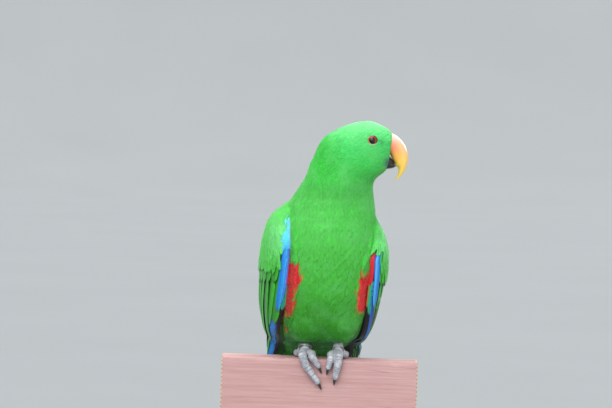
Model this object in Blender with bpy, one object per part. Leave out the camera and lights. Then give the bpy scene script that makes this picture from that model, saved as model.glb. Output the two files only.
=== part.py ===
"""Male eclectus parrot perched on a short cut length of rail, on a plain display stand.

The bird is a still, life-size model. Sizes are named in millimetres and turned to metres by MM.
The bird's chest faces -Y, turned a little to its left, and its head looks along +X.
Places are measured from PERCH, a point just above the middle of the rail's top.
"""

import math

import bmesh
import bpy
import numpy as np
from mathutils import Vector

MM = 0.001
GAP = 0.3
FIT_GAP = 0.5

# Display stand: base plate, two rods and the cut length of rail
BASE_SIZE = (176.0, 176.0, 12.0)
BASE_CORNER = 16.0
BASE_EDGE = 1.5
ROD_RADIUS = 4.0
ROD_SPACING = 96.0
ROD_SIDES = 20
TAIL_CLEARANCE = 9.0
RAIL_SIZE = (172.0, 34.0, 56.0)
RAIL_EDGE = 1.6
RAIL_MIDDLE_Y = 2.0
RAIL_TOP = -5.5
RAIL_FRONT = RAIL_MIDDLE_Y - RAIL_SIZE[1] / 2
RAIL_BACK = RAIL_MIDDLE_Y + RAIL_SIZE[1] / 2

# The bird's turn on the rail, and how far its tail hangs below PERCH
BODY_YAW = 12.0
TAIL_DROP = 112.0
PERCH = Vector((0.0, -20.0, BASE_SIZE[2] + TAIL_CLEARANCE + TAIL_DROP))

# Sections through the torso and lower neck, from the tail root up, in the bird's own upright plane:
# front point (y, z), back point (y, z), sideways place of the middle, half width.
TORSO_SECTIONS = (
    ((51, -44), (70, -36), 4.5, 14.0),
    ((43, -26), (73, -22), 4.5, 21.0),
    ((36, -9), (74, -9), 4.5, 27.5),
    ((24, 1.5), (73.5, 2), 4.5, 32.5),
    ((9, 6.5), (72, 14), 3.8, 36.5),
    ((-8, 11), (69, 28), 3.0, 40.0),
    ((-22, 24), (65, 45), 2.2, 43.5),
    ((-33, 42), (60, 62), 1.6, 46.0),
    ((-40, 62), (55, 79), 1.5, 47.0),
    ((-44, 84), (49, 96), 1.2, 46.3),
    ((-43, 104), (41, 111), 1.4, 43.6),
    ((-39, 121), (33, 124), 3.7, 40.4),
    ((-35.5, 135), (25, 137), 6.1, 35.8),
)
# Sections through the turned neck and the head, level, from the neck up:
# middle (x, y), height, half length along X, half width along Y.
HEAD_SECTIONS = (
    ((9.9, -5.4), 147.5, 31.6, 29.0),
    ((12.6, -6.6), 154.0, 30.6, 27.2),
    ((16.9, -7.9), 160.0, 33.2, 24.8),
    ((20.0, -8.8), 165.5, 34.7, 23.0),
    ((23.2, -9.0), 171.5, 35.0, 21.7),
    ((25.4, -9.0), 178.0, 34.8, 21.0),
    ((27.4, -9.0), 184.2, 33.9, 20.2),
    ((29.5, -9.0), 190.0, 31.5, 18.8),
    ((31.8, -9.0), 195.6, 25.8, 16.2),
    ((34.0, -9.0), 200.3, 17.6, 11.8),
    ((35.2, -9.0), 203.4, 8.6, 6.0),
)
CROWN = (35.4, -9.0, 204.8)
SECTION_POWER = 2.15
BODY_SIDES = 26
RINGS_PER_SECTION = 2
HEAD_CUT = ((15.0, -9.0, 160.5), (0.155, 0.0, 1.0))
NECK_CUT = ((0.0, 0.0, 130.0), (0.0, 0.0, 1.0))

# Bill: the culmen is an arc, and the cutting edge a curve from the gape to the tip
FACE_POINT = (54.0, 168.0)
FACE_SLOPE = 0.106
HEAD_MIDDLE_Y = -9.0
CULMEN_CENTRE = (47.3, 172.9)
CULMEN_RADIUS = 23.5
CULMEN_ANGLES = (66.2, -56.8)
CUTTING_EDGE = ((54.9, 176.3), (57.6, 171.2), (60.6, 167.2), (62.3, 163.4), (62.3, 159.4), (60.6, 154.6))
UPPER_HALF_WIDTHS = (9.6, 9.3, 8.2, 6.2, 3.6, 0.7)
LOWER_TOP = ((54.8, 173.6), (57.0, 170.2), (59.9, 166.8))
LOWER_KEEL = ((53.8, 163.6), (57.8, 164.2), (60.8, 166.0))
LOWER_HALF_WIDTHS = (7.6, 6.6, 2.6)
BILL_SIDES = 16
BILL_STEPS = 12

# Eyes and lids
EYE_PLACE = (39.0, 188.2)
EYE_RADIUS = 5.2
EYE_DEPTH = 3.5
LID_RADIUS = 4.5
LID_THICKNESS = 0.85
LID_SINK = 0.25
LID_LEAN = (0.16, 0.2)

# Wing: sections of the shell that the folded wings lie on, below the torso's own, as in TORSO_SECTIONS
WING_TAIL_SECTIONS = (
    ((26, 6), (73.5, 2), 2.4, 34.0),
    ((36, -9), (74, -9), 2.0, 33.0),
    ((43, -27), (75, -22), 3.0, 30.5),
    ((50, -45), (77, -38), 4.0, 27.0),
    ((56, -62), (80, -54), 4.5, 23.0),
    ((66, -90), (87, -80), 4.5, 18.0),
    ((72, -110), (90, -100), 4.5, 13.0),
)
# Angles round the body, from its front, of the wing's leading edge and inner edge at heights z
LEADING_EDGE = (
    (-80, 150),
    (-60, 122),
    (-40, 92),
    (-20, 69),
    (0, 57),
    (20, 52),
    (45, 47),
    (60, 45.5),
    (84, 46.5),
    (98, 50),
    (110, 56),
    (122, 66),
    (134, 84),
)
SIDE_LEAD = (3.0, -4.0)
INNER_EDGE = ((-80, 177), (-60, 175), (-20, 171), (20, 166), (60, 160), (115, 153), (128, 150))
SIDE_TOP = (133.5, 121.0)
SIDE_ROUND = (23.0, 33.0)
CORE_FADE = 16.0
CORE_BOTTOM = 50.0
CORE_ROWS = 9
CORE_COLUMNS = 9
CORE_LIFT = 7.8
CORE_EDGE = 0.8
CORE_CLEARANCE = 0.7
# The folded wing thins from a height over a length by a share, is rounded over a share of its width
# behind the leading edge, and thins by a share towards its inner edge
THIN_FROM = 76.0
THIN_LENGTH = 140.0
THIN_SHARE = 0.72
LEAD_ROUND = 0.15
INNER_THIN = 0.6
# Feathers: thickness, how far inside the leading edge their lift is taken, and where a short one ends
VANE_THICKNESS = 0.9
LEAD_MARGIN = 9.0
SHORT_LENGTH = 40.0
VANE_STEPS = (0.0, 0.36, 0.74, 0.93, 1.0)
VANE_WIDTHS = (0.6, 1.0, 0.98, 0.62, 0.18)
SHORT_STEPS = (0.0, 0.55, 0.88, 1.0)
SHORT_WIDTHS = (0.75, 1.0, 0.7, 0.22)
TAIL_WIDTHS = (0.6, 0.95, 1.0, 0.78, 0.3)

# Tail
TAIL_FEATHERS = 12
TAIL_DIRECTION = (0.36, -0.93)
TAIL_LENGTH = 74.0
TAIL_HALF_WIDTH = 7.2
TAIL_FAN = 9.0
# Of the tail: distances and sizes of the root block's rings, how far down it the feathers start, how
# far aside the outer pair starts, height of the middle pair and step down to each next, shortening and
# droop of the outer pair
TAIL_ROOT_RINGS = ((GAP, 1.0), (6.0, 0.86), (13.0, 0.45))
TAIL_START = 3.0
TAIL_SPREAD = 9.5
TAIL_HEIGHT = 3.4
TAIL_STEP = 1.15
TAIL_SHORTER = 0.16
TAIL_DROOP = 1.6

# Legs and feet: places of the ankle and the palm for the bird's right side, then its left
ANKLES = ((-13.0, 7.5, 14.5), (16.0, 7.5, 14.5))
PALMS = ((-13.6, -5.6, -0.7), (15.8, -5.6, -0.7))
TARSUS_RADIUS = 3.9
# Middle line of the right thigh's feathered lobe, and its radius there; the left's is further along X
THIGH_LINE = ((-16.0, -8.5, 48.0), (-16.0, -9.4, 32.5), (-15.2, -5.0, 20.0), (-13.4, 0.0, 11.5))
THIGH_RADII = (6.0, 13.4, 13.4, 6.4)
THIGH_MIRROR = 1.2
FOOT_ROOM = 6.0
RING_INNER = 4.6
RING_OUTER = 5.6
RING_HEIGHT = 4.0
RING_PLACE = 10.5
SHANK_LENGTH = 9.0
TOE_SIDES = 9
CLAW_SIDES = 7
# Front toes of the right foot, then the left, longer one first: knuckle (x, z), end (x, z), radius, claw
FRONT_TOES = (
    (((-15.2, -3.0), (-1.6, -25.0), 3.6, 7.5), ((-7.2, -1.0), (-1.4, -11.2), 3.3, 7.0)),
    (((16.4, -3.0), (13.9, -20.5), 3.6, 7.5), ((9.8, -1.0), (7.6, -12.2), 3.3, 7.0)),
)


def reset_scene():
    """Clears the startup scene."""
    for obj in list(bpy.data.objects):
        bpy.data.objects.remove(obj)


def material(name, colour, roughness, metallic=0.0):
    """A plain Principled material of one linear colour."""
    made = bpy.data.materials.new(name)
    made.use_nodes = True
    shader = made.node_tree.nodes["Principled BSDF"]
    shader.inputs["Base Color"].default_value = (*colour, 1.0)
    shader.inputs["Roughness"].default_value = roughness
    shader.inputs["Metallic"].default_value = metallic
    return made


def make_materials():
    """The finishes of the bird and its stand."""
    return {
        "green": material("green_feathers", (0.045, 0.42, 0.04), 0.6),
        "wing": material("wing_feathers", (0.04, 0.36, 0.05), 0.55),
        "tail": material("tail_feathers", (0.03, 0.25, 0.08), 0.55),
        "upper_bill": material("upper_bill_horn", (0.95, 0.48, 0.1), 0.3),
        "lower_bill": material("lower_bill_horn", (0.02, 0.02, 0.025), 0.35),
        "eye": material("eye_glass", (0.01, 0.006, 0.006), 0.05),
        "skin": material("grey_foot_skin", (0.42, 0.42, 0.43), 0.7),
        "claw": material("claw_horn", (0.05, 0.05, 0.06), 0.35),
        "ring": material("leg_ring_steel", (0.6, 0.6, 0.6), 0.3, 1.0),
        "rail": material("rail_stained_wood", (0.5, 0.23, 0.2), 0.7),
        "stand": material("stand_painted_wood", (0.7, 0.68, 0.64), 0.5),
        "rod": material("rod_steel", (0.55, 0.55, 0.56), 0.3, 1.0),
    }


def new_object(name, points, faces, finish):
    """A mesh object of points in millimetres, with its normals turned outwards."""
    mesh = bpy.data.meshes.new(name)
    mesh.from_pydata((np.asarray(points, float) * MM).tolist(), [], [list(f) for f in faces])
    mesh.update()
    shape = bmesh.new()
    shape.from_mesh(mesh)
    bmesh.ops.recalc_face_normals(shape, faces=shape.faces)
    shape.to_mesh(mesh)
    shape.free()
    mesh.materials.append(finish)
    obj = bpy.data.objects.new(name, mesh)
    bpy.context.scene.collection.objects.link(obj)
    return obj


def split_quads(faces):
    """Quads as pairs of triangles, all split the same way."""
    triangles = []
    for face in faces:
        if len(face) == 4:
            triangles += [(face[0], face[1], face[2]), (face[0], face[2], face[3])]
        else:
            triangles.append(tuple(face))
    return triangles


def loft(name, rings, finish, start_pole=None, end_pole=None):
    """A closed body through rings of equally many points, closed by a fan at each end."""
    rings = np.asarray(rings, float)
    count, sides = rings.shape[:2]
    points = rings.reshape(-1, 3).tolist()
    faces = []
    for k in range(count - 1):
        for j in range(sides):
            after = (j + 1) % sides
            a, b = k * sides + j, k * sides + after
            c, d = (k + 1) * sides + after, (k + 1) * sides + j
            faces.append((a, b, c, d))
    for ring_index, pole in ((0, start_pole), (count - 1, end_pole)):
        points.append(list(rings[ring_index].mean(axis=0) if pole is None else pole))
        tip = len(points) - 1
        start = ring_index * sides
        faces += [(start + j, start + (j + 1) % sides, tip) for j in range(sides)]
    return new_object(name, points, split_quads(faces), finish)


def smooth_rows(rows, places):
    """Catmull-Rom values of rows (n, ...) at float places along their index."""
    rows = np.asarray(rows, float)
    places = np.clip(np.asarray(places, float), 0, len(rows) - 1)
    low = np.minimum(places.astype(int), len(rows) - 2)
    share = (places - low).reshape((-1,) + (1,) * (rows.ndim - 1))
    before = rows[np.maximum(low - 1, 0)]
    first, second = rows[low], rows[low + 1]
    after = rows[np.minimum(low + 2, len(rows) - 1)]
    slope_a, slope_b = (second - before) / 2, (after - first) / 2
    return (
        (2 * share**3 - 3 * share**2 + 1) * first
        + (share**3 - 2 * share**2 + share) * slope_a
        + (3 * share**2 - 2 * share**3) * second
        + (share**3 - share**2) * slope_b
    )


def turned(vector, degrees):
    """A vector turned about Z."""
    angle = math.radians(degrees)
    x, y, z = vector
    return np.array(
        [x * math.cos(angle) - y * math.sin(angle), x * math.sin(angle) + y * math.cos(angle), z]
    )


def torso_frames(sections):
    """Middle, forward direction, sideways direction and half sizes along them, of each section."""
    frames = []
    for (front_y, front_z), (back_y, back_z), middle_x, half_width in sections:
        middle = (middle_x, (front_y + back_y) / 2, (front_z + back_z) / 2)
        forward = np.array((0.0, (front_y - back_y) / 2, (front_z - back_z) / 2))
        half_length = np.linalg.norm(forward)
        rows = [turned(v, BODY_YAW) for v in (middle, forward / half_length, (1.0, 0.0, 0.0))]
        frames.append(np.array(rows + [(half_length, half_width, 0.0)]))
    return frames


def head_frames():
    """The same for each neck and head section, which is level and square to the stand."""
    frames = []
    for (x, y), z, half_length, half_width in HEAD_SECTIONS:
        frames.append([[x, y, z], [0.0, -1.0, 0.0], [1.0, 0.0, 0.0], [half_width, half_length, 0.0]])
    return [np.array(rows) for rows in frames]


BODY_FRAMES = np.array(torso_frames(TORSO_SECTIONS) + head_frames())
WING_FRAMES = np.array(torso_frames(WING_TAIL_SECTIONS[::-1] + TORSO_SECTIONS[4:]))


def section_points(frames, places, angles, lift=0.0):
    """Points round a body's sections: places and angles (degrees from the front) broadcast together."""
    places, angles, lift = np.broadcast_arrays(places, angles, lift)
    values = smooth_rows(frames, places.ravel())
    middle, forward, side, shape = (values[:, i] for i in range(4))
    direction = np.radians(angles.ravel())
    along = np.abs(np.cos(direction)) / shape[:, 0]
    across = np.abs(np.sin(direction)) / shape[:, 1]
    reach = (along**SECTION_POWER + across**SECTION_POWER) ** (-1 / SECTION_POWER) + lift.ravel()
    ahead = forward * (reach * np.cos(direction))[:, None]
    aside = side * (reach * np.sin(direction))[:, None]
    return (middle + ahead + aside).reshape(places.shape + (3,))


def body_rings(swell=0.0):
    """Rings of the whole torso, neck and head."""
    count = (len(BODY_FRAMES) - 1) * RINGS_PER_SECTION + 1
    places = np.linspace(0, len(BODY_FRAMES) - 1, count)
    angles = np.arange(BODY_SIDES) * 360.0 / BODY_SIDES
    return section_points(BODY_FRAMES, places[:, None], angles[None, :], swell)


def whole_body(name, finish, swell=0.0):
    """The torso, neck and head in one closed body, to be parted by cuts."""
    crown = np.array(CROWN) + (0.0, 0.0, swell)
    return loft(name, body_rings(swell), finish, end_pole=crown)


def cut_away(obj, place, direction):
    """Removes what lies past a plane, and closes the cut with a flat face."""
    shape = bmesh.new()
    shape.from_mesh(obj.data)
    bmesh.ops.bisect_plane(
        shape,
        geom=list(shape.verts) + list(shape.edges) + list(shape.faces),
        plane_co=Vector(place) * MM,
        plane_no=Vector(direction).normalized(),
        clear_outer=True,
    )
    rim = [edge for edge in shape.edges if edge.is_boundary]
    made = bmesh.ops.contextual_create(shape, geom=rim)
    bmesh.ops.triangulate(shape, faces=made["faces"])
    bmesh.ops.recalc_face_normals(shape, faces=shape.faces)
    shape.to_mesh(obj.data)
    shape.free()


def shifted(place, direction, distance):
    """A point moved along a direction."""
    return Vector(place) + Vector(direction).normalized() * distance


def boolean(obj, others, operation, solver="EXACT"):
    """Joins or cuts obj by other closed bodies, which are removed."""
    group = bpy.data.collections.new(obj.name + "_tools")
    bpy.context.scene.collection.children.link(group)
    for other in others:
        group.objects.link(other)
        bpy.context.scene.collection.objects.unlink(other)
    step = obj.modifiers.new("join", "BOOLEAN")
    step.operation = operation
    step.operand_type = "COLLECTION"
    step.collection = group
    step.solver = solver
    graph = bpy.context.evaluated_depsgraph_get()
    mesh = bpy.data.meshes.new_from_object(obj.evaluated_get(graph))
    obj.modifiers.clear()
    obj.data = mesh
    for other in list(group.objects):
        bpy.data.objects.remove(other)
    bpy.data.collections.remove(group)
    keep_largest(obj)
    merge_flat_faces(obj)


def keep_largest(obj):
    """Keeps a mesh's largest closed surface."""
    shape = bmesh.new()
    shape.from_mesh(obj.data)
    bmesh.ops.triangulate(shape, faces=shape.faces)
    left = set(shape.faces)
    best, best_volume = [], 0.0
    while left:
        stack = [left.pop()]
        found = list(stack)
        while stack:
            face = stack.pop()
            for edge in face.edges:
                for other in edge.link_faces:
                    if other in left:
                        left.remove(other)
                        stack.append(other)
                        found.append(other)
        volume = 0.0
        for face in found:
            a, b, c = (v.co for v in face.verts)
            volume += a.dot(b.cross(c)) / 6
        if abs(volume) > best_volume:
            best, best_volume = found, abs(volume)
    keep = set(best)
    bmesh.ops.delete(shape, geom=[f for f in shape.faces if f not in keep], context="FACES")
    shape.to_mesh(obj.data)
    shape.free()


def merge_flat_faces(obj, degrees=0.6):
    """Merges neighbouring faces that lie flat, and splits the faces into triangles again."""
    shape = bmesh.new()
    shape.from_mesh(obj.data)
    bmesh.ops.dissolve_limit(
        shape, angle_limit=math.radians(degrees), verts=list(shape.verts), edges=list(shape.edges)
    )
    bmesh.ops.triangulate(shape, faces=shape.faces)
    shape.to_mesh(obj.data)
    shape.free()


def face_x(z):
    """Where the bill leaves the head, at a height."""
    return FACE_POINT[0] + (z - FACE_POINT[1]) * FACE_SLOPE


def make_body(finish):
    """Head, neck and torso, parted by thin level cuts."""
    face_direction = (1.0, 0.0, -FACE_SLOPE)
    head = whole_body("head", finish["green"])
    cut_away(head, shifted(HEAD_CUT[0], HEAD_CUT[1], GAP / 2), -Vector(HEAD_CUT[1]))
    cut_away(head, (FACE_POINT[0], 0.0, FACE_POINT[1]), face_direction)
    neck = whole_body("neck", finish["green"])
    cut_away(neck, shifted(HEAD_CUT[0], HEAD_CUT[1], -GAP / 2), HEAD_CUT[1])
    cut_away(neck, shifted(NECK_CUT[0], NECK_CUT[1], GAP / 2), -Vector(NECK_CUT[1]))
    torso = whole_body("torso", finish["green"])
    cut_away(torso, shifted(NECK_CUT[0], NECK_CUT[1], -GAP / 2), NECK_CUT[1])
    return head, neck, torso


def ball(name, centre, radius, finish, segments=14, rings=9):
    """A sphere whose poles lie along Y."""
    shape = bmesh.new()
    bmesh.ops.create_uvsphere(shape, u_segments=segments, v_segments=rings, radius=radius * MM)
    bmesh.ops.triangulate(shape, faces=shape.faces)
    mesh = bpy.data.meshes.new(name)
    shape.to_mesh(mesh)
    shape.free()
    for vertex in mesh.vertices:
        x, y, z = vertex.co
        vertex.co = (x + centre[0] * MM, z + centre[1] * MM, -y + centre[2] * MM)
    mesh.materials.append(finish)
    obj = bpy.data.objects.new(name, mesh)
    bpy.context.scene.collection.objects.link(obj)
    return obj


def tube_ring(name, centre, axis, radius, thickness, finish, around=16, across=6, height=None):
    """A ring round an axis: a round section, or a flat band where a height is given."""
    axis = Vector(axis).normalized()
    first = axis.orthogonal().normalized()
    second = axis.cross(first)
    points, faces = [], []
    for i in range(around):
        turn = 2 * math.pi * i / around
        out = first * math.cos(turn) + second * math.sin(turn)
        for j in range(across):
            if height is None:
                lean = 2 * math.pi * j / across
                reach, rise = radius + thickness * math.cos(lean), thickness * math.sin(lean)
            else:
                reach = radius + (0.0, thickness, thickness, 0.0)[j]
                rise = (-0.5, -0.5, 0.5, 0.5)[j] * height
            points.append(Vector(centre) + out * reach + axis * rise)
    for i in range(around):
        for j in range(across):
            a, b = i * across + j, i * across + (j + 1) % across
            c, d = (i + 1) % around * across + (j + 1) % across, (i + 1) % around * across + j
            faces.append((a, b, c, d))
    return new_object(name, points, split_quads(faces), finish)


def head_half_width(x, z):
    """Half width of the head at a place on its side, from its own sections."""
    heights = BODY_FRAMES[len(TORSO_SECTIONS):, 0, 2]
    place = len(TORSO_SECTIONS) + np.interp(z, heights, np.arange(len(heights)))
    middle, _forward, _side, shape = smooth_rows(BODY_FRAMES, [place])[0]
    along = abs(x - middle[0]) / shape[1]
    return shape[0] * (1 - along**SECTION_POWER) ** (1 / SECTION_POWER)


def make_eyes(head, finish):
    """Both eyes, sunk in sockets, with a lid ring raised on the head."""
    eye_x, eye_z = EYE_PLACE
    half_width = head_half_width(eye_x, eye_z)
    sockets = []
    lids = []
    for name, sign in (("eye_right", -1), ("eye_left", 1)):
        surface_y = HEAD_MIDDLE_Y + sign * half_width
        centre = (eye_x, surface_y - sign * EYE_DEPTH, eye_z)
        ball(name, centre, EYE_RADIUS, finish["eye"])
        sockets.append(ball(name + "_socket", centre, EYE_RADIUS + GAP, finish["eye"]))
        out = (LID_LEAN[0], sign, LID_LEAN[1])
        lid_place = (eye_x, surface_y - sign * LID_SINK, eye_z)
        lids.append(tube_ring(name + "_lid", lid_place, out, LID_RADIUS, LID_THICKNESS, finish["green"]))
    boolean(head, lids, "UNION")
    boolean(head, sockets, "DIFFERENCE")


def bill_rings(top_points, low_points, half_widths, squareness=2.3):
    """Rings between an upper and a lower line of points (x, z), each with its half width."""
    angles = np.arange(BILL_SIDES) * 2 * math.pi / BILL_SIDES
    power = 2 / squareness
    up = np.sign(np.cos(angles)) * np.abs(np.cos(angles)) ** power
    out = np.sign(np.sin(angles)) * np.abs(np.sin(angles)) ** power
    rings = []
    for top, low, half_width in zip(top_points, low_points, half_widths):
        middle, reach = (top + low) / 2, (top - low) / 2
        xs, zs = middle[0] + reach[0] * up, middle[1] + reach[1] * up
        rings.append(np.stack([xs, HEAD_MIDDLE_Y + half_width * out, zs], axis=1))
    return np.array(rings)


def make_bill(finish):
    """The hooked upper bill and the short lower bill, standing off the face by the gap."""
    steps = np.linspace(0, 1, BILL_STEPS)
    turns = np.radians(CULMEN_ANGLES[0] + (CULMEN_ANGLES[1] - CULMEN_ANGLES[0]) * steps)
    culmen = np.stack([np.cos(turns), np.sin(turns)], axis=1) * CULMEN_RADIUS + CULMEN_CENTRE
    edge = smooth_rows(CUTTING_EDGE, steps * (len(CUTTING_EDGE) - 1))
    widths = smooth_rows(UPPER_HALF_WIDTHS, steps * (len(UPPER_HALF_WIDTHS) - 1))
    upper = bill_rings(culmen, edge, widths)
    upper[:, :, 0] += GAP
    tip = (culmen[-1] + edge[-1]) / 2
    loft("beak_upper", upper, finish["upper_bill"], end_pole=(tip[0], HEAD_MIDDLE_Y, tip[1] - 0.8))
    steps = np.linspace(0, 1, BILL_STEPS // 2)
    top = smooth_rows(LOWER_TOP, steps * (len(LOWER_TOP) - 1))
    keel = smooth_rows(LOWER_KEEL, steps * (len(LOWER_KEEL) - 1))
    widths = smooth_rows(LOWER_HALF_WIDTHS, steps * (len(LOWER_HALF_WIDTHS) - 1))
    lower = bill_rings(top, keel, widths)
    lower[:, :, 0] += GAP
    loft("beak_lower", lower, finish["lower_bill"])


def wing_place(z, angle):
    """Place along the wing's sections where the shell has a height, at an angle from the front."""
    places = np.linspace(0, len(WING_FRAMES) - 1, 120)
    heights = section_points(WING_FRAMES, places, angle)[:, 2]
    return np.interp(z, heights, places)


def wing_point(z, angle, lift, side):
    """A point on one wing's shell, by height, angle from the front and lift off the body."""
    place = wing_place(z, side * angle)
    return section_points(WING_FRAMES, np.array([place]), side * angle, lift)[0]


def edge_angle(table, z):
    """Angle of a wing edge at a height."""
    heights, angles = zip(*table)
    return np.interp(z, heights, angles)


def lead_angle(z, side):
    """Angle of one wing's leading edge at a height."""
    return edge_angle(LEADING_EDGE, z) + SIDE_LEAD[0 if side < 0 else 1]


def wing_depth(z, angle, side):
    """Thickness of the folded wing over the body: rounded at its front and top, thin at back and tip."""
    which = 0 if side < 0 else 1
    lead, back = lead_angle(z, side), edge_angle(INNER_EDGE, z)
    across = min(1.0, max(0.0, (angle - lead) / (back - lead)))
    fall = min(1.0, max(0.0, (SIDE_TOP[which] - z) / SIDE_ROUND[which]))
    top_round = math.sqrt(1 - (1 - fall) ** 2)
    taper = 1.0 - THIN_SHARE * min(1.0, max(0.0, (THIN_FROM - z) / THIN_LENGTH))
    front_round = math.sqrt(1 - (1 - min(1.0, across / LEAD_ROUND)) ** 2)
    back_thin = 1.0 - INNER_THIN * across**2
    return CORE_EDGE + CORE_LIFT * top_round * taper * front_round * back_thin


def vane(name, root, tip, half_width, sink, rise, tilt, side, finish, bow=0.0):
    """One feather: a thin tapered strip from root to tip, both (z, angle), over the wing's depth."""
    line, outward = [], []
    short = root[0] - tip[0] < SHORT_LENGTH
    for t in SHORT_STEPS if short else VANE_STEPS:
        z = root[0] + (tip[0] - root[0]) * t
        angle = root[1] + (tip[1] - root[1]) * t + bow * math.sin(math.pi * t)
        inside = max(angle, lead_angle(z, side) + LEAD_MARGIN)
        lift = FIT_GAP + max(CORE_CLEARANCE, wing_depth(z, inside, side) - sink + (rise + sink) * t)
        line.append(wing_point(z, angle, lift, side))
        outward.append(wing_point(z, angle, lift + 1.0, side))
    line = np.array(line)
    widths = SHORT_WIDTHS if short else VANE_WIDTHS
    return strip(name, line, np.array(outward) - line, half_width, widths, finish, tilt * side)


def strip(name, line, outward, half_width, widths, finish, tilt=0.0, thickness=VANE_THICKNESS):
    """A thin strip along a line of points, lying across the outward directions, turned by a tilt."""
    along = np.gradient(line, axis=0)
    along /= np.linalg.norm(along, axis=1)[:, None]
    across = np.cross(along, outward)
    across /= np.linalg.norm(across, axis=1)[:, None]
    across = across * math.cos(math.radians(tilt)) + np.cross(across, along) * math.sin(math.radians(tilt))
    normal = np.cross(across, along)
    spread = across * (half_width * np.array(widths))[:, None]
    high, low = normal * thickness / 2, -normal * thickness / 2
    edges = (line - spread + high, line + spread + high, line + spread + low, line - spread + low)
    rings = np.stack(edges, axis=1)
    count = len(line)
    points = rings.reshape(-1, 3)
    faces = [(0, 1, 2, 3), tuple(4 * (count - 1) + j for j in range(4))]
    for k in range(count - 1):
        first, second = 4 * k, 4 * (k + 1)
        top = (first, first + 1, second + 1, second)
        under = (first + 3, first + 2, second + 2, second + 3)
        faces += [top, under]
        faces.append((first + 1, first + 2, second + 2, second + 1))
        faces.append((first + 3, first, second, second + 3))
    return new_object(name, points, split_quads(faces), finish)


def wing_core(name, side, finish):
    """The shoulder and arm: a shield on the torso's side, rounded at its leading edge."""
    outer, inner = [], []
    top = SIDE_TOP[0 if side < 0 else 1]
    for row in range(CORE_ROWS):
        z = top + (CORE_BOTTOM - top) * (row / (CORE_ROWS - 1)) ** 1.25
        lead, back = lead_angle(z, side), edge_angle(INNER_EDGE, z)
        for column in range(CORE_COLUMNS):
            angle = lead + (back - lead) * (column / (CORE_COLUMNS - 1)) ** 1.5
            fade = min(1.0, 0.15 + (z - CORE_BOTTOM) / CORE_FADE)
            depth = CORE_CLEARANCE + wing_depth(z, angle, side) * fade
            outer.append(wing_point(z, angle, FIT_GAP + depth, side))
            inner.append(wing_point(z, angle, FIT_GAP + CORE_CLEARANCE, side))
    points = outer + inner
    shift = len(outer)
    faces = []
    for row in range(CORE_ROWS - 1):
        for column in range(CORE_COLUMNS - 1):
            a = row * CORE_COLUMNS + column
            quad = (a, a + 1, a + 1 + CORE_COLUMNS, a + CORE_COLUMNS)
            faces.append(quad)
            faces.append(tuple(i + shift for i in quad))
    rim = list(range(CORE_COLUMNS))
    rim += [row * CORE_COLUMNS + CORE_COLUMNS - 1 for row in range(1, CORE_ROWS)]
    rim += [(CORE_ROWS - 1) * CORE_COLUMNS + c for c in range(CORE_COLUMNS - 2, -1, -1)]
    rim += [row * CORE_COLUMNS for row in range(CORE_ROWS - 2, 0, -1)]
    for here, after in zip(rim, rim[1:] + rim[:1]):
        faces.append((here, after, after + shift, here + shift))
    return new_object(name, points, split_quads(faces), finish)


def wing_tiers():
    """Root, tip, half width, sink, rise, tilt and bow of every feather of a folded wing.

    Angles are from the wing's upper leading edge. Sink is how deep the root lies in the wing, and
    rise how far the tip stands off it.
    """
    feathers = []
    primary_tips = ((-56, 82), (-66, 97), (-70, 105), (-64, 109), (-53, 109), (-41, 107), (-29, 103))
    for i, tip in enumerate(primary_tips):
        root = (60 - 1.5 * i, 4 + 3.4 * i)
        feathers.append((root, tip, 7.0, 5.0 - 0.3 * i, -1.4 + 0.4 * i, 2.0, -14.0))
    for i in range(7):
        root = (70, 10 + 14.4 * i)
        tip = (22 - 7.0 * i + 0.35 * i * i, 15 + 15.6 * i)
        feathers.append((root, tip, 9.8, 1.6, 0.5 + 0.1 * i, 6.0, 0.0))
    for i in range(6):
        root = (97, 10 + 15.9 * i)
        tip = (64 - 1.4 * i, 13 + 16.9 * i)
        feathers.append((root, tip, 9.9, 1.4, 1.3, 6.0, 0.0))
    for i in range(6):
        root = (113, 10 + 15.6 * i)
        tip = (87 - 1.0 * i, 12 + 16.3 * i)
        feathers.append((root, tip, 9.7, 1.4, 1.2, 6.0, 0.0))
    for i in range(2):
        root = (95 - 3 * i, 2.5 + 3.6 * i)
        tip = (45 - 8 * i, 3.5 + 4.2 * i)
        feathers.append((root, tip, 4.2, 2.0, 0.2 + 0.2 * i, 4.0, 0.0))
    return feathers


def make_wings(finish):
    """Both folded wings: a core that carries the tiers of feathers, in one body each."""
    for name, side in (("wing_right", -1), ("wing_left", 1)):
        wing = wing_core(name, side, finish["wing"])
        start = lead_angle(90.0, side)
        drop = (SIDE_TOP[0 if side < 0 else 1] - sum(SIDE_TOP) / 2) * 0.6
        feathers = []
        for number, (root, tip, half_width, sink, rise, tilt, bow) in enumerate(wing_tiers()):
            begin = (root[0] + drop * max(0.0, (root[0] - 60) / 50), root[1] + start)
            end = (tip[0] + drop * max(0.0, (tip[0] - 60) / 50), tip[1] + start)
            piece_name = f"{name}_vane_{number}"
            shape = (half_width, sink, rise, tilt, side)
            feathers.append(vane(piece_name, begin, end, *shape, finish["wing"], bow))
        boolean(wing, feathers, "UNION", "MANIFOLD")
        boolean(wing, [whole_body("torso_form", finish["green"], FIT_GAP)], "DIFFERENCE", "MANIFOLD")


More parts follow.
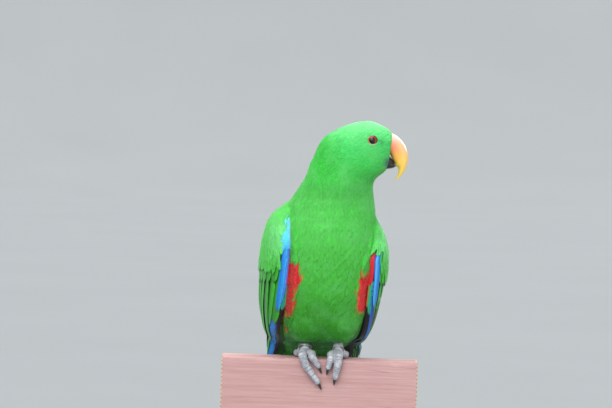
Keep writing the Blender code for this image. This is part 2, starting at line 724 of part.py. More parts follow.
def make_tail(finish):
    """Twelve tail feathers in two overlapping rows, the middle pair on top, on a short root."""
    middle, forward, side, shape = BODY_FRAMES[0]
    forward, side = forward * shape[0], side * shape[1]
    direction = turned((0.0, *TAIL_DIRECTION), BODY_YAW)
    across = side / np.linalg.norm(side)
    out = np.cross(across, direction)
    if out[1] < 0:
        out = -out
    normal = np.cross(side, forward)
    normal = normal / np.linalg.norm(normal)
    if normal @ direction < 0:
        normal = -normal
    angles = np.radians(np.arange(BODY_SIDES // 2) * 720.0 / BODY_SIDES)
    rings = []
    for distance, share in TAIL_ROOT_RINGS:
        centre = middle + (normal if distance < 1 else direction) * distance
        ring = centre + share * (np.cos(angles)[:, None] * forward + np.sin(angles)[:, None] * side)
        rings.append(ring)
    tail = loft("tail", rings, finish["tail"])
    feathers = []
    steps = np.array(VANE_STEPS)
    for i in range(TAIL_FEATHERS):
        pair, sign = i // 2, 1 if i % 2 else -1
        share = (pair + 0.5) / (TAIL_FEATHERS / 2)
        fan = math.radians(TAIL_FAN * share) * sign
        height = TAIL_HEIGHT - TAIL_STEP * pair + (GAP if sign > 0 else 0.0)
        length = TAIL_LENGTH * (1.0 - TAIL_SHORTER * share**2)
        start = middle + direction * TAIL_START + across * (sign * TAIL_SPREAD * share) + out * height
        heading = direction * math.cos(fan) + across * math.sin(fan)
        line = start + heading * (steps * length)[:, None]
        line -= out * (TAIL_DROOP * share * steps**2)[:, None]
        outward = np.repeat(out[None, :] + across[None, :] * (0.12 * sign * pair), len(steps), axis=0)
        feathers.append(strip(f"tail_vane_{i}", line, outward, TAIL_HALF_WIDTH, TAIL_WIDTHS, finish["tail"]))
    boolean(tail, feathers, "UNION", "MANIFOLD")


def tube(name, line, radii, sides, finish):
    """A round limb along a smooth line of points, with a radius at each, rounded at its ends."""
    line, radii = np.array(line, float), np.array(radii, float)
    places = np.linspace(0, len(line) - 1, (len(line) - 1) * 2 + 1)
    line, radii = smooth_rows(line, places), smooth_rows(radii, places)
    along = np.gradient(line, axis=0)
    along /= np.linalg.norm(along, axis=1)[:, None]
    reference = np.array([1.0, 0.0, 0.0])
    if abs(along[len(along) // 2] @ reference) > 0.8:
        reference = np.array([0.0, 0.0, 1.0])
    angles = np.arange(sides) * 2 * math.pi / sides
    rings = []
    for centre, heading, radius in zip(line, along, radii):
        first = reference - heading * (heading @ reference)
        first /= np.linalg.norm(first)
        second = np.cross(heading, first)
        ring = np.cos(angles)[:, None] * first + np.sin(angles)[:, None] * second
        rings.append(centre + ring * radius)
    start = line[0] - along[0] * radii[0] * 0.5
    end = line[-1] + along[-1] * radii[-1] * 0.5
    return loft(name, rings, finish, start_pole=start, end_pole=end)


def toe_plans(foot):
    """Joint places, radii and claw tip of each toe, for the right foot (0) or the left foot (1)."""
    palm = PALMS[foot]
    mirror = -1 if foot == 0 else 1
    plans = []
    for (x_start, z_start), (x_end, z_end), radius, claw_length in FRONT_TOES[foot]:
        skin = RAIL_FRONT - radius - GAP
        line = (
            palm,
            (x_start, RAIL_FRONT + 2.2, RAIL_TOP + radius + 0.7),
            (x_start, RAIL_FRONT - radius * 0.86, RAIL_TOP + radius * 0.72),
            (x_start * 0.72 + x_end * 0.28, skin, z_start * 0.6 + z_end * 0.4),
            (x_end, skin + 0.3, z_end),
        )
        lean = (x_end - x_start) / (z_start - z_end)
        tip = (x_end + lean * claw_length * 0.8, RAIL_FRONT - 0.9, z_end - claw_length)
        radii = (radius * 1.15, radius * 1.06, radius, radius * 0.95, radius * 0.74)
        plans.append((line, radii, tip))
    outer_line = (
        (palm[0] + mirror * 2.4, palm[1] + 2.0, RAIL_TOP + 6.2),
        (palm[0] + mirror * 6.0, palm[1] + 6.5, RAIL_TOP + 4.2),
        (palm[0] + mirror * 6.9, palm[1] + 13.5, RAIL_TOP + 3.5),
        (palm[0] + mirror * 7.4, RAIL_BACK - 5.0, RAIL_TOP + 3.2),
    )
    outer_tip = (palm[0] + mirror * 8.0, RAIL_BACK + 3.6, RAIL_TOP - 3.0)
    plans.append((outer_line, (3.9, 3.5, 3.1, 2.5), outer_tip))
    inner_line = (
        (palm[0] - mirror * 2.0, palm[1] + 1.6, RAIL_TOP + 5.6),
        (palm[0] - mirror * 5.2, palm[1] + 5.6, RAIL_TOP + 3.6),
        (palm[0] - mirror * 6.4, palm[1] + 11.8, RAIL_TOP + 2.9),
    )
    inner_tip = (palm[0] - mirror * 7.2, palm[1] + 20.5, RAIL_TOP + 0.9)
    plans.append((inner_line, (3.6, 3.1, 2.3), inner_tip))
    return plans


def claw(name, joint, before, tip, radius, finish):
    """A curved, tapered claw that starts a gap past its toe's end."""
    joint, before, tip = (np.array(v, float) for v in (joint, before, tip))
    heading = joint - before
    heading /= np.linalg.norm(heading)
    start = joint + heading * (radius * 0.5 + GAP)
    middle = start + heading * np.linalg.norm(tip - start) * 0.5
    steps = np.linspace(0, 1, 5)[:, None]
    line = (1 - steps) ** 2 * start + 2 * steps * (1 - steps) * middle + steps**2 * tip
    radii = radius * 0.62 * (1 - steps[:, 0]) ** 0.75 + 0.25
    along = np.gradient(line, axis=0)
    along /= np.linalg.norm(along, axis=1)[:, None]
    reference = np.array([1.0, 0.0, 0.0])
    angles = np.arange(CLAW_SIDES) * 2 * math.pi / CLAW_SIDES
    rings = []
    for centre, direction, thick in zip(line, along, radii):
        first = reference - direction * (direction @ reference)
        first /= np.linalg.norm(first)
        second = np.cross(direction, first)
        rings.append(centre + (np.cos(angles)[:, None] * first + np.sin(angles)[:, None] * second) * thick)
    return loft(name, rings, finish, end_pole=tip + along[-1] * 0.3)


def make_legs(torso, finish):
    """Feathered thighs, scaled shanks, four-toed feet, claws, and the ring on the right leg."""
    for foot, side_name in enumerate(("right", "left")):
        ankle, palm = (np.array(v[foot], float) for v in (ANKLES, PALMS))
        heading = (palm - ankle) / np.linalg.norm(palm - ankle)
        mirror = 1 if foot == 0 else -1
        shift = 0.0 if foot == 0 else 2 * THIGH_MIRROR
        lobe = [(mirror * x + shift, y, z) for x, y, z in THIGH_LINE]
        thigh = tube(f"thigh_{side_name}", lobe, THIGH_RADII, 16, finish["green"])
        boolean(thigh, [whole_body("torso_form", finish["green"], FIT_GAP)], "DIFFERENCE")
        sleeve = RING_OUTER if foot == 0 else TARSUS_RADIUS
        pocket_line = [ankle + heading * along for along in (-2.6, 2.0, 3.7, 12.0, 22.0)]
        limb_radii = (TARSUS_RADIUS, TARSUS_RADIUS, sleeve, FOOT_ROOM, FOOT_ROOM)
        pocket_radii = [radius + FIT_GAP for radius in limb_radii]
        for body in (thigh, torso):
            pocket = tube("pocket", pocket_line, pocket_radii, 14, finish["skin"])
            boolean(body, [pocket], "DIFFERENCE")
        shank_line = [ankle + heading * along for along in (-0.5, 4.0, SHANK_LENGTH + 0.4)]
        radii = [TARSUS_RADIUS * 0.9, TARSUS_RADIUS, TARSUS_RADIUS]
        shank = tube(f"leg_{side_name}", shank_line, radii, TOE_SIDES, finish["skin"])
        cut_away(shank, ankle + heading * SHANK_LENGTH, heading)
        foot_line = [ankle + heading * along for along in (SHANK_LENGTH - 1.0, SHANK_LENGTH + 2.5)]
        foot_line += [palm + (0, 0, 0.6), palm + (0, -3.6, -0.3)]
        radii = (TARSUS_RADIUS, TARSUS_RADIUS + 0.2, 5.0, 4.2)
        foot_body = tube(f"foot_{side_name}", foot_line, radii, TOE_SIDES, finish["skin"])
        cut_away(foot_body, ankle + heading * (SHANK_LENGTH + GAP), -heading)
        toes = []
        for number, (line, radii, tip) in enumerate(toe_plans(foot)):
            toes.append(tube(f"toe_{side_name}_{number}", line, radii, TOE_SIDES, finish["skin"]))
            claw(f"claw_{side_name}_{number + 1}", line[-1], line[-2], tip, radii[-1], finish["claw"])
        boolean(foot_body, toes, "UNION")
        if foot == 0:
            tube_ring(
                "leg_ring",
                ankle + heading * RING_PLACE,
                heading,
                RING_INNER,
                RING_OUTER - RING_INNER,
                finish["ring"],
                around=24,
                across=4,
                height=RING_HEIGHT,
            )


def beveled_box(name, low, high, edge, finish, corner=0.0):
    """A block from its low to its high corner, with its upright corners rounded and its edges eased."""
    shape = bmesh.new()
    bmesh.ops.create_cube(shape, size=1.0)
    for vertex in shape.verts:
        for axis in range(3):
            vertex.co[axis] = (low[axis] if vertex.co[axis] < 0 else high[axis]) * MM
    if corner:
        upright = [e for e in shape.edges if abs(e.verts[0].co.z - e.verts[1].co.z) > 1e-6]
        bmesh.ops.bevel(shape, geom=upright, offset=corner * MM, segments=5, profile=0.5, affect="EDGES")
    rims = [e for e in shape.edges if e.calc_face_angle(0.0) > math.radians(60)]
    bmesh.ops.bevel(shape, geom=rims, offset=edge * MM, segments=2, profile=0.5, affect="EDGES")
    mesh = bpy.data.meshes.new(name)
    shape.to_mesh(mesh)
    shape.free()
    mesh.materials.append(finish)
    obj = bpy.data.objects.new(name, mesh)
    bpy.context.scene.collection.objects.link(obj)
    return obj


def make_stand(finish):
    """Base plate, two rods, and the cut length of rail that the bird grips."""
    half_x, half_y = BASE_SIZE[0] / 2, BASE_SIZE[1] / 2
    base_low = Vector((-half_x, -half_y, 0.0)) - PERCH
    base_high = Vector((half_x, half_y, BASE_SIZE[2])) - PERCH
    beveled_box("stand_base", base_low, base_high, BASE_EDGE, finish["stand"], BASE_CORNER)
    rail_bottom = RAIL_TOP - RAIL_SIZE[2]
    rail_low = (-RAIL_SIZE[0] / 2, RAIL_FRONT, rail_bottom)
    rail_high = (RAIL_SIZE[0] / 2, RAIL_BACK, RAIL_TOP)
    beveled_box("stand_perch_rail", rail_low, rail_high, RAIL_EDGE, finish["rail"])
    low_z, high_z = base_high.z + GAP, rail_bottom - GAP
    for number, sign in enumerate((-1, 1)):
        x = sign * ROD_SPACING / 2
        angles = np.arange(ROD_SIDES) * 2 * math.pi / ROD_SIDES
        rings = []
        for z in (low_z, high_z):
            xs = x + ROD_RADIUS * np.cos(angles)
            ys = RAIL_MIDDLE_Y + ROD_RADIUS * np.sin(angles)
            rings.append(np.stack([xs, ys, np.full(ROD_SIDES, z)], axis=1))
        loft(f"stand_rod_{number + 1}", rings, finish["rod"])


def main():
    """Builds every node round the rail's top, then moves them all to the stand's frame."""
    reset_scene()
    finish = make_materials()
    head, _neck, torso = make_body(finish)
    make_eyes(head, finish)
    make_bill(finish)
    make_wings(finish)
    make_tail(finish)
    make_legs(torso, finish)
    make_stand(finish)
    for obj in bpy.data.objects:
        for vertex in obj.data.vertices:
            vertex.co += PERCH * MM
        obj.data.shade_smooth()
        obj.data.set_sharp_from_angle(angle=math.radians(40))


main()
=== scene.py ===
"""Looks of a male eclectus parrot that grips a short cut length of rail on a plain stand.

Places are worked out in millimetres from PERCH, a point just above the middle of the rail's top,
and turned to metres where a mesh is made. The bird's head looks along +X and its chest faces -Y.
"""

import math

import bpy
import numpy as np
from mathutils import Matrix, Vector
from mathutils.bvhtree import BVHTree


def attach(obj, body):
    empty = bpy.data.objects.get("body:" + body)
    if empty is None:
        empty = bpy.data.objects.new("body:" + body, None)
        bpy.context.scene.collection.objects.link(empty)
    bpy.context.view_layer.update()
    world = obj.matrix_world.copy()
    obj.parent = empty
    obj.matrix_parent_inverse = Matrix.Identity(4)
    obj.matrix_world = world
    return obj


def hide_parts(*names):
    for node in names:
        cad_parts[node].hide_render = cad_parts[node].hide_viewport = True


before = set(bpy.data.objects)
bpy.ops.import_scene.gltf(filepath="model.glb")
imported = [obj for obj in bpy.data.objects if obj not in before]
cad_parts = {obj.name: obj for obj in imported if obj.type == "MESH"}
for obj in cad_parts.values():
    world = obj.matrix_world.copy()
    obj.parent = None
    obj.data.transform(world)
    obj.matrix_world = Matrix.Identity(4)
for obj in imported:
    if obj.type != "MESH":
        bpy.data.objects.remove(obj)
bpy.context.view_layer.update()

MM = 0.001
PERCH = np.array((0.0, -20.0, 133.0))
BODY = "root"

# Camera: the photograph's framing, with its slight roll
CAMERA_TARGET = (-16.9, 0.0, 129.7)
CAMERA_ELEVATION = 2.5
CAMERA_ROLL = 2.0
CAMERA_DISTANCE = 2992.0
CAMERA_LENS = 200.0

# The body's form, as in the solids. A row of the torso gives a front and a back point (y, z), a middle
# x and a half width, in the bird's own turned frame, and a row of the head a middle (x, y), a height, a
# half length and a half width
BODY_YAW = 12.0
SECTION_POWER = 2.15
TORSO_SECTIONS = (
    ((51, -44), (70, -36), 4.5, 14.0),
    ((43, -26), (73, -22), 4.5, 21.0),
    ((36, -9), (74, -9), 4.5, 27.5),
    ((24, 1.5), (73.5, 2), 4.5, 32.5),
    ((9, 6.5), (72, 14), 3.8, 36.5),
    ((-8, 11), (69, 28), 3.0, 40.0),
    ((-22, 24), (65, 45), 2.2, 43.5),
    ((-33, 42), (60, 62), 1.6, 46.0),
    ((-40, 62), (55, 79), 1.5, 47.0),
    ((-44, 84), (49, 96), 1.2, 46.3),
    ((-43, 104), (41, 111), 1.4, 43.6),
    ((-39, 121), (33, 124), 3.7, 40.4),
    ((-35.5, 135), (25, 137), 6.1, 35.8),
)
HEAD_SECTIONS = (
    ((9.9, -5.4), 147.5, 31.6, 29.0),
    ((12.6, -6.6), 154.0, 30.6, 27.2),
    ((16.9, -7.9), 160.0, 33.2, 24.8),
    ((20.0, -8.8), 165.5, 34.7, 23.0),
    ((23.2, -9.0), 171.5, 35.0, 21.7),
    ((25.4, -9.0), 178.0, 34.8, 21.0),
    ((27.4, -9.0), 184.2, 33.9, 20.2),
    ((29.5, -9.0), 190.0, 31.5, 18.8),
    ((31.3, -9.0), 195.6, 24.9, 16.2),
    ((32.7, -9.0), 200.3, 16.7, 11.8),
    ((33.5, -9.0), 203.4, 8.0, 6.0),
    ((34.0, -9.0), 204.4, 3.6, 2.8),
    ((34.2, -9.0), 204.8, 0.6, 0.3),
)
WING_TAIL_SECTIONS = (
    ((72, -110), (90, -100), 4.5, 13.0),
    ((66, -90), (87, -80), 4.5, 18.0),
    ((56, -62), (80, -54), 4.5, 23.0),
    ((50, -45), (77, -38), 4.0, 27.0),
    ((43, -27), (75, -22), 3.0, 30.5),
    ((36, -9), (74, -9), 2.0, 33.0),
    ((26, 6), (73.5, 2), 2.4, 34.0),
)
FACE_POINT = (54.0, 168.0)
FACE_SLOPE = 0.106
HEAD_MIDDLE_Y = -9.0

# Thighs: places and radii down the right one's middle line, and the left one's shift
THIGH_LINE = ((-16.0, -8.5, 48.0), (-16.0, -9.4, 32.5), (-15.2, -4.6, 22.5), (-13.4, 1.0, 15.0))
THIGH_RADII = (6.0, 13.4, 13.0, 5.2)
THIGH_SHIFT = 2.4

# The box grid that holds distances from the body's form
FIELD_LOW = np.array((-62.0, -66.0, -62.0))
FIELD_STEP = 2.5
FIELD_COUNT = (54, 64, 110)

# The coat: its greens by height, the inner edges of the red flanks by height, the outline of a feather,
# and how many are drawn before chance thins them
# Greens by height: darker low on the belly and paler at the crown, partly the bird's own colour and partly
# painted light, a painted shade on the belly and a painted highlight from above on the crown
GREEN_HEIGHTS = (-60.0, 6.0, 26.0, 60.0, 100.0, 140.0, 165.0, 184.0, 197.0, 206.0)
GREEN_CODES = (
    "1C6A1A", "1E7A10", "309012", "40B232", "46BA42", "40B240", "34B846", "42C862", "5ED277", "80E496",
)
RED_RIGHT = (
    (33.0, 26.0), (37.0, 24.2), (57.0, 23.2), (61.5, 19.2), (68.0, 18.3), (76.5, 22.0), (85.0, 29.7),
)
RED_LEFT = ((35.0, 31.0), (52.0, 31.1), (60.0, 31.6), (68.0, 32.4), (74.0, 37.0))
TUFT_ROWS = np.array((0.0, 0.32, 0.6, 0.83, 1.0))
TUFT_WIDTHS = np.array((0.4, 0.9, 1.0, 0.82, 0.4))
TUFT_COLUMNS = 5
COAT_DRAWS = 190000
THIGH_DRAWS = 3200
COVERT_DRAWS = 16000

# Folded wings: the shell's leading and inner edges by height, as angles from the front, then for the
# right and the left wing the leading edge's shift, the top's height and the length of its rounding, and
# how the left wing's leading edge is tucked in above and swells out below
LEADING_EDGE = (
    (-80, 150), (-60, 122), (-40, 92), (-20, 69), (0, 57), (20, 52), (45, 47), (60, 45.5), (84, 46.5),
    (98, 50), (110, 56), (122, 66), (134, 84),
)
INNER_EDGE = ((-80, 177), (-60, 175), (-20, 171), (20, 166), (60, 160), (115, 153), (128, 150))
SIDE_LEAD = (3.0, -4.0)
SIDE_TOP = (133.5, 121.0)
SIDE_ROUND = (23.0, 33.0)
WING_LIFT = 7.8
WING_BOTTOM = -86.0
LEFT_TUCK = 7.0
LEFT_SWELL = 7.2

# Large vanes: places across from the outer rim to the inner one, and the outer web's share of the inner
VANE_ACROSS = np.array((-1.0, -0.9, -0.68, -0.38, -0.1, 0.1, 0.38, 0.68, 0.9, 1.0))
OUTER_WEB = 0.7
VANE_THICKNESS = 0.22
GREEN, DEEP_GREEN, BRIGHT_GREEN, BLACK = "38AC28", "1B6E1F", "5ED03A", "0B0F0D"
BLUE, VIOLET, TEAL, RED = "1C78D6", "3B4ACB", "1FA487", "D01B26"

# Tail feathers: their number, heading in the bird's own frame, length, half width and fan in degrees
TAIL_FEATHERS = 12
TAIL_DIRECTION = (0.36, -0.93)
TAIL_LENGTH = 74.0
TAIL_HALF_WIDTH = 7.4
TAIL_FAN = 9.0

# Bill: the ridge of the upper bill is an arc, and its cutting edge a curve from the gape to the tip
CULMEN_CENTRE = (47.3, 172.9)
CULMEN_RADIUS = 23.5
CULMEN_ANGLES = (66.2, -56.8)
CUTTING_EDGE = ((54.9, 176.3), (57.6, 171.2), (60.6, 167.2), (62.3, 163.4), (62.3, 159.4), (60.6, 154.6))
UPPER_HALF_WIDTHS = (9.6, 9.3, 8.2, 6.2, 3.6, 0.7)
LOWER_TOP = ((50.6, 176.0), (56.8, 170.4), (59.9, 166.8))
LOWER_KEEL = ((50.4, 163.0), (57.6, 164.1), (60.8, 166.0))
LOWER_HALF_WIDTHS = (7.6, 6.6, 2.6)
GAP = 0.3

# Eyes: their place on the side of the head (x, z), and the sizes of each part
EYE_PLACE = (39.0, 188.2)
EYE_RADIUS = 5.2
EYE_DEPTH = 3.75
IRIS_RADIUS = 3.55
PUPIL_RADIUS = 2.8

# Rail, legs and feet, as in the solids: places for the bird's right side, then its left
RAIL_SIZE = (172.0, 34.0, 56.0)
RAIL_MIDDLE_Y = 2.0
RAIL_TOP = -5.5
RAIL_FRONT = RAIL_MIDDLE_Y - RAIL_SIZE[1] / 2
RAIL_BACK = RAIL_MIDDLE_Y + RAIL_SIZE[1] / 2
ANKLES = ((-13.0, 7.5, 14.5), (16.0, 7.5, 14.5))
PALMS = ((-13.6, -5.6, -0.7), (15.8, -5.6, -0.7))
TARSUS_RADIUS = 3.9
FRONT_TOES = (
    (((-15.2, -3.0), (-1.6, -25.0), 3.6, 7.5), ((-7.2, -1.0), (-1.4, -11.2), 3.3, 7.0)),
    (((16.4, -3.0), (13.9, -20.5), 3.6, 7.5), ((9.8, -1.0), (7.6, -12.2), 3.3, 7.0)),
)
LEG_RING_PLACE = 14.3
LEG_RING_RADIUS = 5.8
LEG_RING_HALF_HEIGHT = 1.6

# Stand
BASE_SIZE = (176.0, 176.0, 12.0)
BASE_CORNER = 16.0
ROD_RADIUS = 4.0
ROD_SPACING = 96.0


def hex_colour(code):
    """A six-digit sRGB colour as linear red, green and blue."""
    values = np.array([int(code[i : i + 2], 16) / 255 for i in (0, 2, 4)])
    return np.where(values <= 0.04045, values / 12.92, ((values + 0.055) / 1.055) ** 2.4)


def blend(colours, code, shares):
    """Colours moved towards a hex colour by shares."""
    return colours + shares[:, None] * (hex_colour(code) - colours)


def rows_at(rows, places):
    """Catmull-Rom curve through rows (n, ...), read at float places along their index."""
    rows = np.asarray(rows, float)
    places = np.clip(np.asarray(places, float), 0, len(rows) - 1)
    low = np.minimum(places.astype(int), len(rows) - 2)
    share = (places - low).reshape((-1,) + (1,) * (rows.ndim - 1))
    first, second = rows[low], rows[low + 1]
    slope_a = (second - rows[np.maximum(low - 1, 0)]) / 2
    slope_b = (rows[np.minimum(low + 2, len(rows) - 1)] - first) / 2
    return (
        (2 * share**3 - 3 * share**2 + 1) * first
        + (share**3 - 2 * share**2 + share) * slope_a
        + (3 * share**2 - 2 * share**3) * second
        + (share**3 - share**2) * slope_b
    )


def ease(values, low, high):
    """0 below low, 1 above high, and a smooth S between."""
    share = np.clip((np.asarray(values, float) - low) / (high - low), 0, 1)
    return share * share * (3 - 2 * share)


def unit(vectors):
    """Vectors scaled to length one along their last axis."""
    return vectors / np.maximum(np.linalg.norm(vectors, axis=-1, keepdims=True), 1e-9)


def turned(vector, degrees):
    """A vector turned about Z."""
    angle = math.radians(degrees)
    x, y, z = vector
    cosine, sine = math.cos(angle), math.sin(angle)
    return np.array((x * cosine - y * sine, x * sine + y * cosine, z))


def turns(count):
    """Even angles round a circle."""
    return np.arange(count) * 2 * math.pi / count


def by_height(table, heights):
    """Values at heights of a table of heights and values."""
    return np.interp(heights, *zip(*table))


def torso_frames(sections):
    """Middle, forward direction, sideways direction and half sizes of each tilted section."""
    frames = []
    for (front_y, front_z), (back_y, back_z), middle_x, half_width in sections:
        middle = (middle_x, (front_y + back_y) / 2, (front_z + back_z) / 2)
        forward = np.array((0.0, (front_y - back_y) / 2, (front_z - back_z) / 2))
        half_length = np.linalg.norm(forward)
        rows = [turned(v, BODY_YAW) for v in (middle, forward / half_length, (1.0, 0.0, 0.0))]
        frames.append(np.array(rows + [(half_length, half_width, 0.0)]))
    return frames


def head_frames():
    """The same for the level sections of the turned neck and head."""
    frames = []
    for (x, y), z, half_length, half_width in HEAD_SECTIONS:
        axes = ((0.0, -1.0, 0.0), (1.0, 0.0, 0.0))
        frames.append(np.array(((x, y, z), *axes, (half_width, half_length, 0.0))))
    return frames


BODY_FRAMES = np.array(torso_frames(TORSO_SECTIONS) + head_frames())
WING_FRAMES = np.array(torso_frames(WING_TAIL_SECTIONS + TORSO_SECTIONS[4:]))


def section_points(frames, places, angles, lift=0.0):
    """Points of a body of superellipse sections: each lies in its section's plane, at the section's reach
    in the direction of an angle from the front, plus a lift."""
    places, angles, lift = np.broadcast_arrays(places, angles, lift)
    values = rows_at(frames, places.ravel())
    middle, forward, side, shape = (values[:, i] for i in range(4))
    direction = np.radians(angles.ravel())
    along = np.abs(np.cos(direction)) / shape[:, 0]
    across = np.abs(np.sin(direction)) / shape[:, 1]
    reach = (along**SECTION_POWER + across**SECTION_POWER) ** (-1 / SECTION_POWER) + lift.ravel()
    ahead = forward * (reach * np.cos(direction))[:, None]
    aside = side * (reach * np.sin(direction))[:, None]
    return (middle + ahead + aside).reshape(places.shape + (3,))


def grid_faces(rows, columns, wrap=False):
    """Quads of a grid of points, row by row, closed round its columns if wrap is set."""
    i = np.arange(rows - 1)[:, None]
    j = np.arange(columns if wrap else columns - 1)[None, :]
    after = (j + 1) % columns
    corners = (i * columns + j, i * columns + after, (i + 1) * columns + after, (i + 1) * columns + j)
    return np.stack([c + 0 * i + 0 * j for c in corners], axis=-1).reshape(-1, 4)


def torus_faces(rows, columns):
    """Quads of a grid of points that closes on itself both ways."""
    index = np.arange(rows * columns).reshape(rows, columns)
    after = np.roll(index, -1, axis=0)
    corners = (index, np.roll(index, -1, axis=1), np.roll(after, -1, axis=1), after)
    return [np.stack(corners, axis=-1).reshape(-1, 4)]


def thigh_line(sign):
    """One thigh's middle line: the right one's, or its mirror image with a small shift."""
    line = np.array(THIGH_LINE)
    return line * (-1, 1, 1) + (THIGH_SHIFT, 0, 0) if sign > 0 else line


def thigh_spheres(sign):
    """Centres and radii of balls along one thigh's middle line."""
    line = thigh_line(sign)
    places = np.linspace(0, len(line) - 1, 13)
    return rows_at(line, places), rows_at(np.array(THIGH_RADII)[:, None], places)[:, 0]


def soft_least(first, second, softness):
    """The lesser of two distances, with a fillet of a softness where they are alike."""
    mix = np.clip(0.5 + (second - first) / (2 * softness), 0, 1)
    return second * (1 - mix) + first * mix - softness * mix * (1 - mix)


def body_field():
    """Distances from the coat's outer form at the points of a box grid, positive outside: the distance to
    the lofted body, joined softly with both thighs, cut off at the face of the bill, hollowed a little at
    the eyes, and swelled at the cheeks and brows."""
    places = np.linspace(0, len(BODY_FRAMES) - 1, 170)
    points = section_points(BODY_FRAMES, places[:, None], np.arange(0, 360, 3.75)[None, :])
    rows, columns = points.shape[:2]
    faces = grid_faces(rows, columns, wrap=True).tolist()
    faces += [list(range(columns))[::-1], list(range((rows - 1) * columns, rows * columns))]
    tree = BVHTree.FromPolygons(points.reshape(-1, 3).tolist(), faces)
    axes = [FIELD_LOW[k] + FIELD_STEP * np.arange(FIELD_COUNT[k]) for k in range(3)]
    grid = np.stack(np.meshgrid(*axes, indexing="ij"), axis=-1).reshape(-1, 3)
    near = [tree.find_nearest(place) for place in grid.tolist()]
    spots = np.array([hit[0] for hit in near])
    normals = np.array([hit[1] for hit in near])
    away = grid - spots
    inside = np.einsum("ij,ij->i", away, normals) < 0
    field = np.linalg.norm(away, axis=1) * np.where(inside, -1, 1)
    for sign in (-1, 1):
        centres, radii = thigh_spheres(sign)
        thigh = np.min([np.linalg.norm(grid - c, axis=1) - r for c, r in zip(centres, radii)], axis=0)
        field = soft_least(field, thigh, 5.0)
        side_y = HEAD_MIDDLE_Y + sign * 18.6
        cheek = np.linalg.norm((grid - (38.0, side_y, 172.0)) / (9.0, 7.0, 7.0), axis=1)
        field -= 0.9 * np.exp(-(cheek**2))
        brow = np.linalg.norm((grid - (38.0, side_y + sign, 195.5)) / (8.0, 5.0, 3.2), axis=1)
        field -= 0.7 * np.exp(-(brow**2))
        lores = np.linalg.norm((grid - (46.5, side_y - sign * 2, 186.5)) / (3.6, 6.0, 3.2), axis=1)
        field += 0.8 * np.exp(-(lores**2))
    face = grid[:, 0] - FACE_POINT[0] - (grid[:, 2] - FACE_POINT[1]) * FACE_SLOPE
    face = face / math.hypot(1, FACE_SLOPE)
    face = np.where(grid[:, 2] > 150, face, -50.0)
    return -soft_least(-field, -face, 1.2).reshape(FIELD_COUNT)


FIELD = body_field()
FIELD_ROWS = np.stack([FIELD, *np.gradient(FIELD, FIELD_STEP)], axis=-1)


def near_form(points):
    """Distance from the form and unit direction away from it, read from the box grid by trilinear
    mixing."""
    shape = points.shape[:-1]
    where = (points.reshape(-1, 3) - FIELD_LOW) / FIELD_STEP
    where = np.clip(where, 0, np.array(FIELD_COUNT) - 1.001)
    low = where.astype(int)
    share = where - low
    total = np.zeros((len(where), 4))
    for corner in np.ndindex(2, 2, 2):
        weight = np.prod(np.where(corner, share, 1 - share), axis=1)
        at = low + corner
        total += FIELD_ROWS[at[:, 0], at[:, 1], at[:, 2]] * weight[:, None]
    return total[:, 0].reshape(shape), unit(total[:, 1:]).reshape(shape + (3,))


def lay_on_form(points, lift, steps=2):
    """Points moved along the form's own normals until they stand off it by a lift."""
    for _ in range(steps):
        distance, away = near_form(points)
        points = points - away * (distance - lift)[..., None]
    return points


def closed_rings(rings, start, end):
    """Points and faces of a tube of rings, closed by fans to a start and an end point."""
    count, sides = rings.shape[:2]
    points = np.concatenate([rings.reshape(-1, 3), [start, end]])
    near, far = np.arange(sides), np.arange(sides) + (count - 1) * sides
    fans = np.concatenate(
        [
            np.stack([np.roll(near, -1), near, np.full(sides, count * sides)], axis=1),
            np.stack([far, np.roll(far, -1), np.full(sides, count * sides + 1)], axis=1),
        ]
    )
    return points, [grid_faces(count, sides, wrap=True), fans]


def outward(points, faces):
    """The closed shape of points and faces, with its faces turned so that its volume is positive."""
    volume = 0.0
    for group in faces:
        for k in range(1, group.shape[1] - 1):
            a, b, c = points[group[:, 0]], points[group[:, k]], points[group[:, k + 1]]
            volume += np.einsum("ij,ij->", a, np.cross(b, c))
    return points, faces if volume > 0 else [group[:, ::-1] for group in faces]


def make_piece(name, shape, finish, replaces=()):
    """A piece that rides on the bird, from a shape: points in millimetres from PERCH, a list of arrays of
    triangles or quads, and where it has them, maps (UV places of each point) and values (attributes of
    each point)."""
    points, faces, maps, values = (*shape, {}, {})[:4]
    mesh = bpy.data.meshes.new(name)
    mesh.vertices.add(len(points))
    mesh.vertices.foreach_set("co", ((points + PERCH) * MM).astype(np.float32).ravel())
    corners = np.concatenate([group.ravel() for group in faces]).astype(np.int32)
    sizes = np.concatenate([np.full(len(group), group.shape[1]) for group in faces])
    starts = np.concatenate([[0], np.cumsum(sizes)[:-1]]).astype(np.int32)
    mesh.loops.add(len(corners))
    mesh.loops.foreach_set("vertex_index", corners)
    mesh.polygons.add(len(sizes))
    mesh.polygons.foreach_set("loop_start", starts)
    mesh.update(calc_edges=True)
    for label, places in maps.items():
        layer = mesh.uv_layers.new(name=label)
        layer.uv.foreach_set("vector", places[corners].astype(np.float32).ravel())
    for label, rows in values.items():
        if rows.ndim == 1:
            spots = mesh.attributes.new(label, "FLOAT", "POINT").data
            spots.foreach_set("value", rows.astype(np.float32))
        else:
            colours = np.concatenate([rows, np.ones((len(rows), 1))], axis=1).astype(np.float32)
            spots = mesh.attributes.new(label, "FLOAT_COLOR", "POINT").data
            spots.foreach_set("color", colours.ravel())
    mesh.shade_smooth()
    mesh.materials.append(finish)
    obj = bpy.data.objects.new(name, mesh)
    bpy.context.scene.collection.objects.link(obj)
    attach(obj, BODY)
    if replaces:
        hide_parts(*replaces)
    return obj


def wire(finish, socket, value):
    """Gives a node's input a number, a hex colour, or another node's output."""
    if isinstance(value, bpy.types.NodeSocket):
        finish.node_tree.links.new(value, socket)
    else:
        socket.default_value = (*hex_colour(value), 1.0) if isinstance(value, str) else value


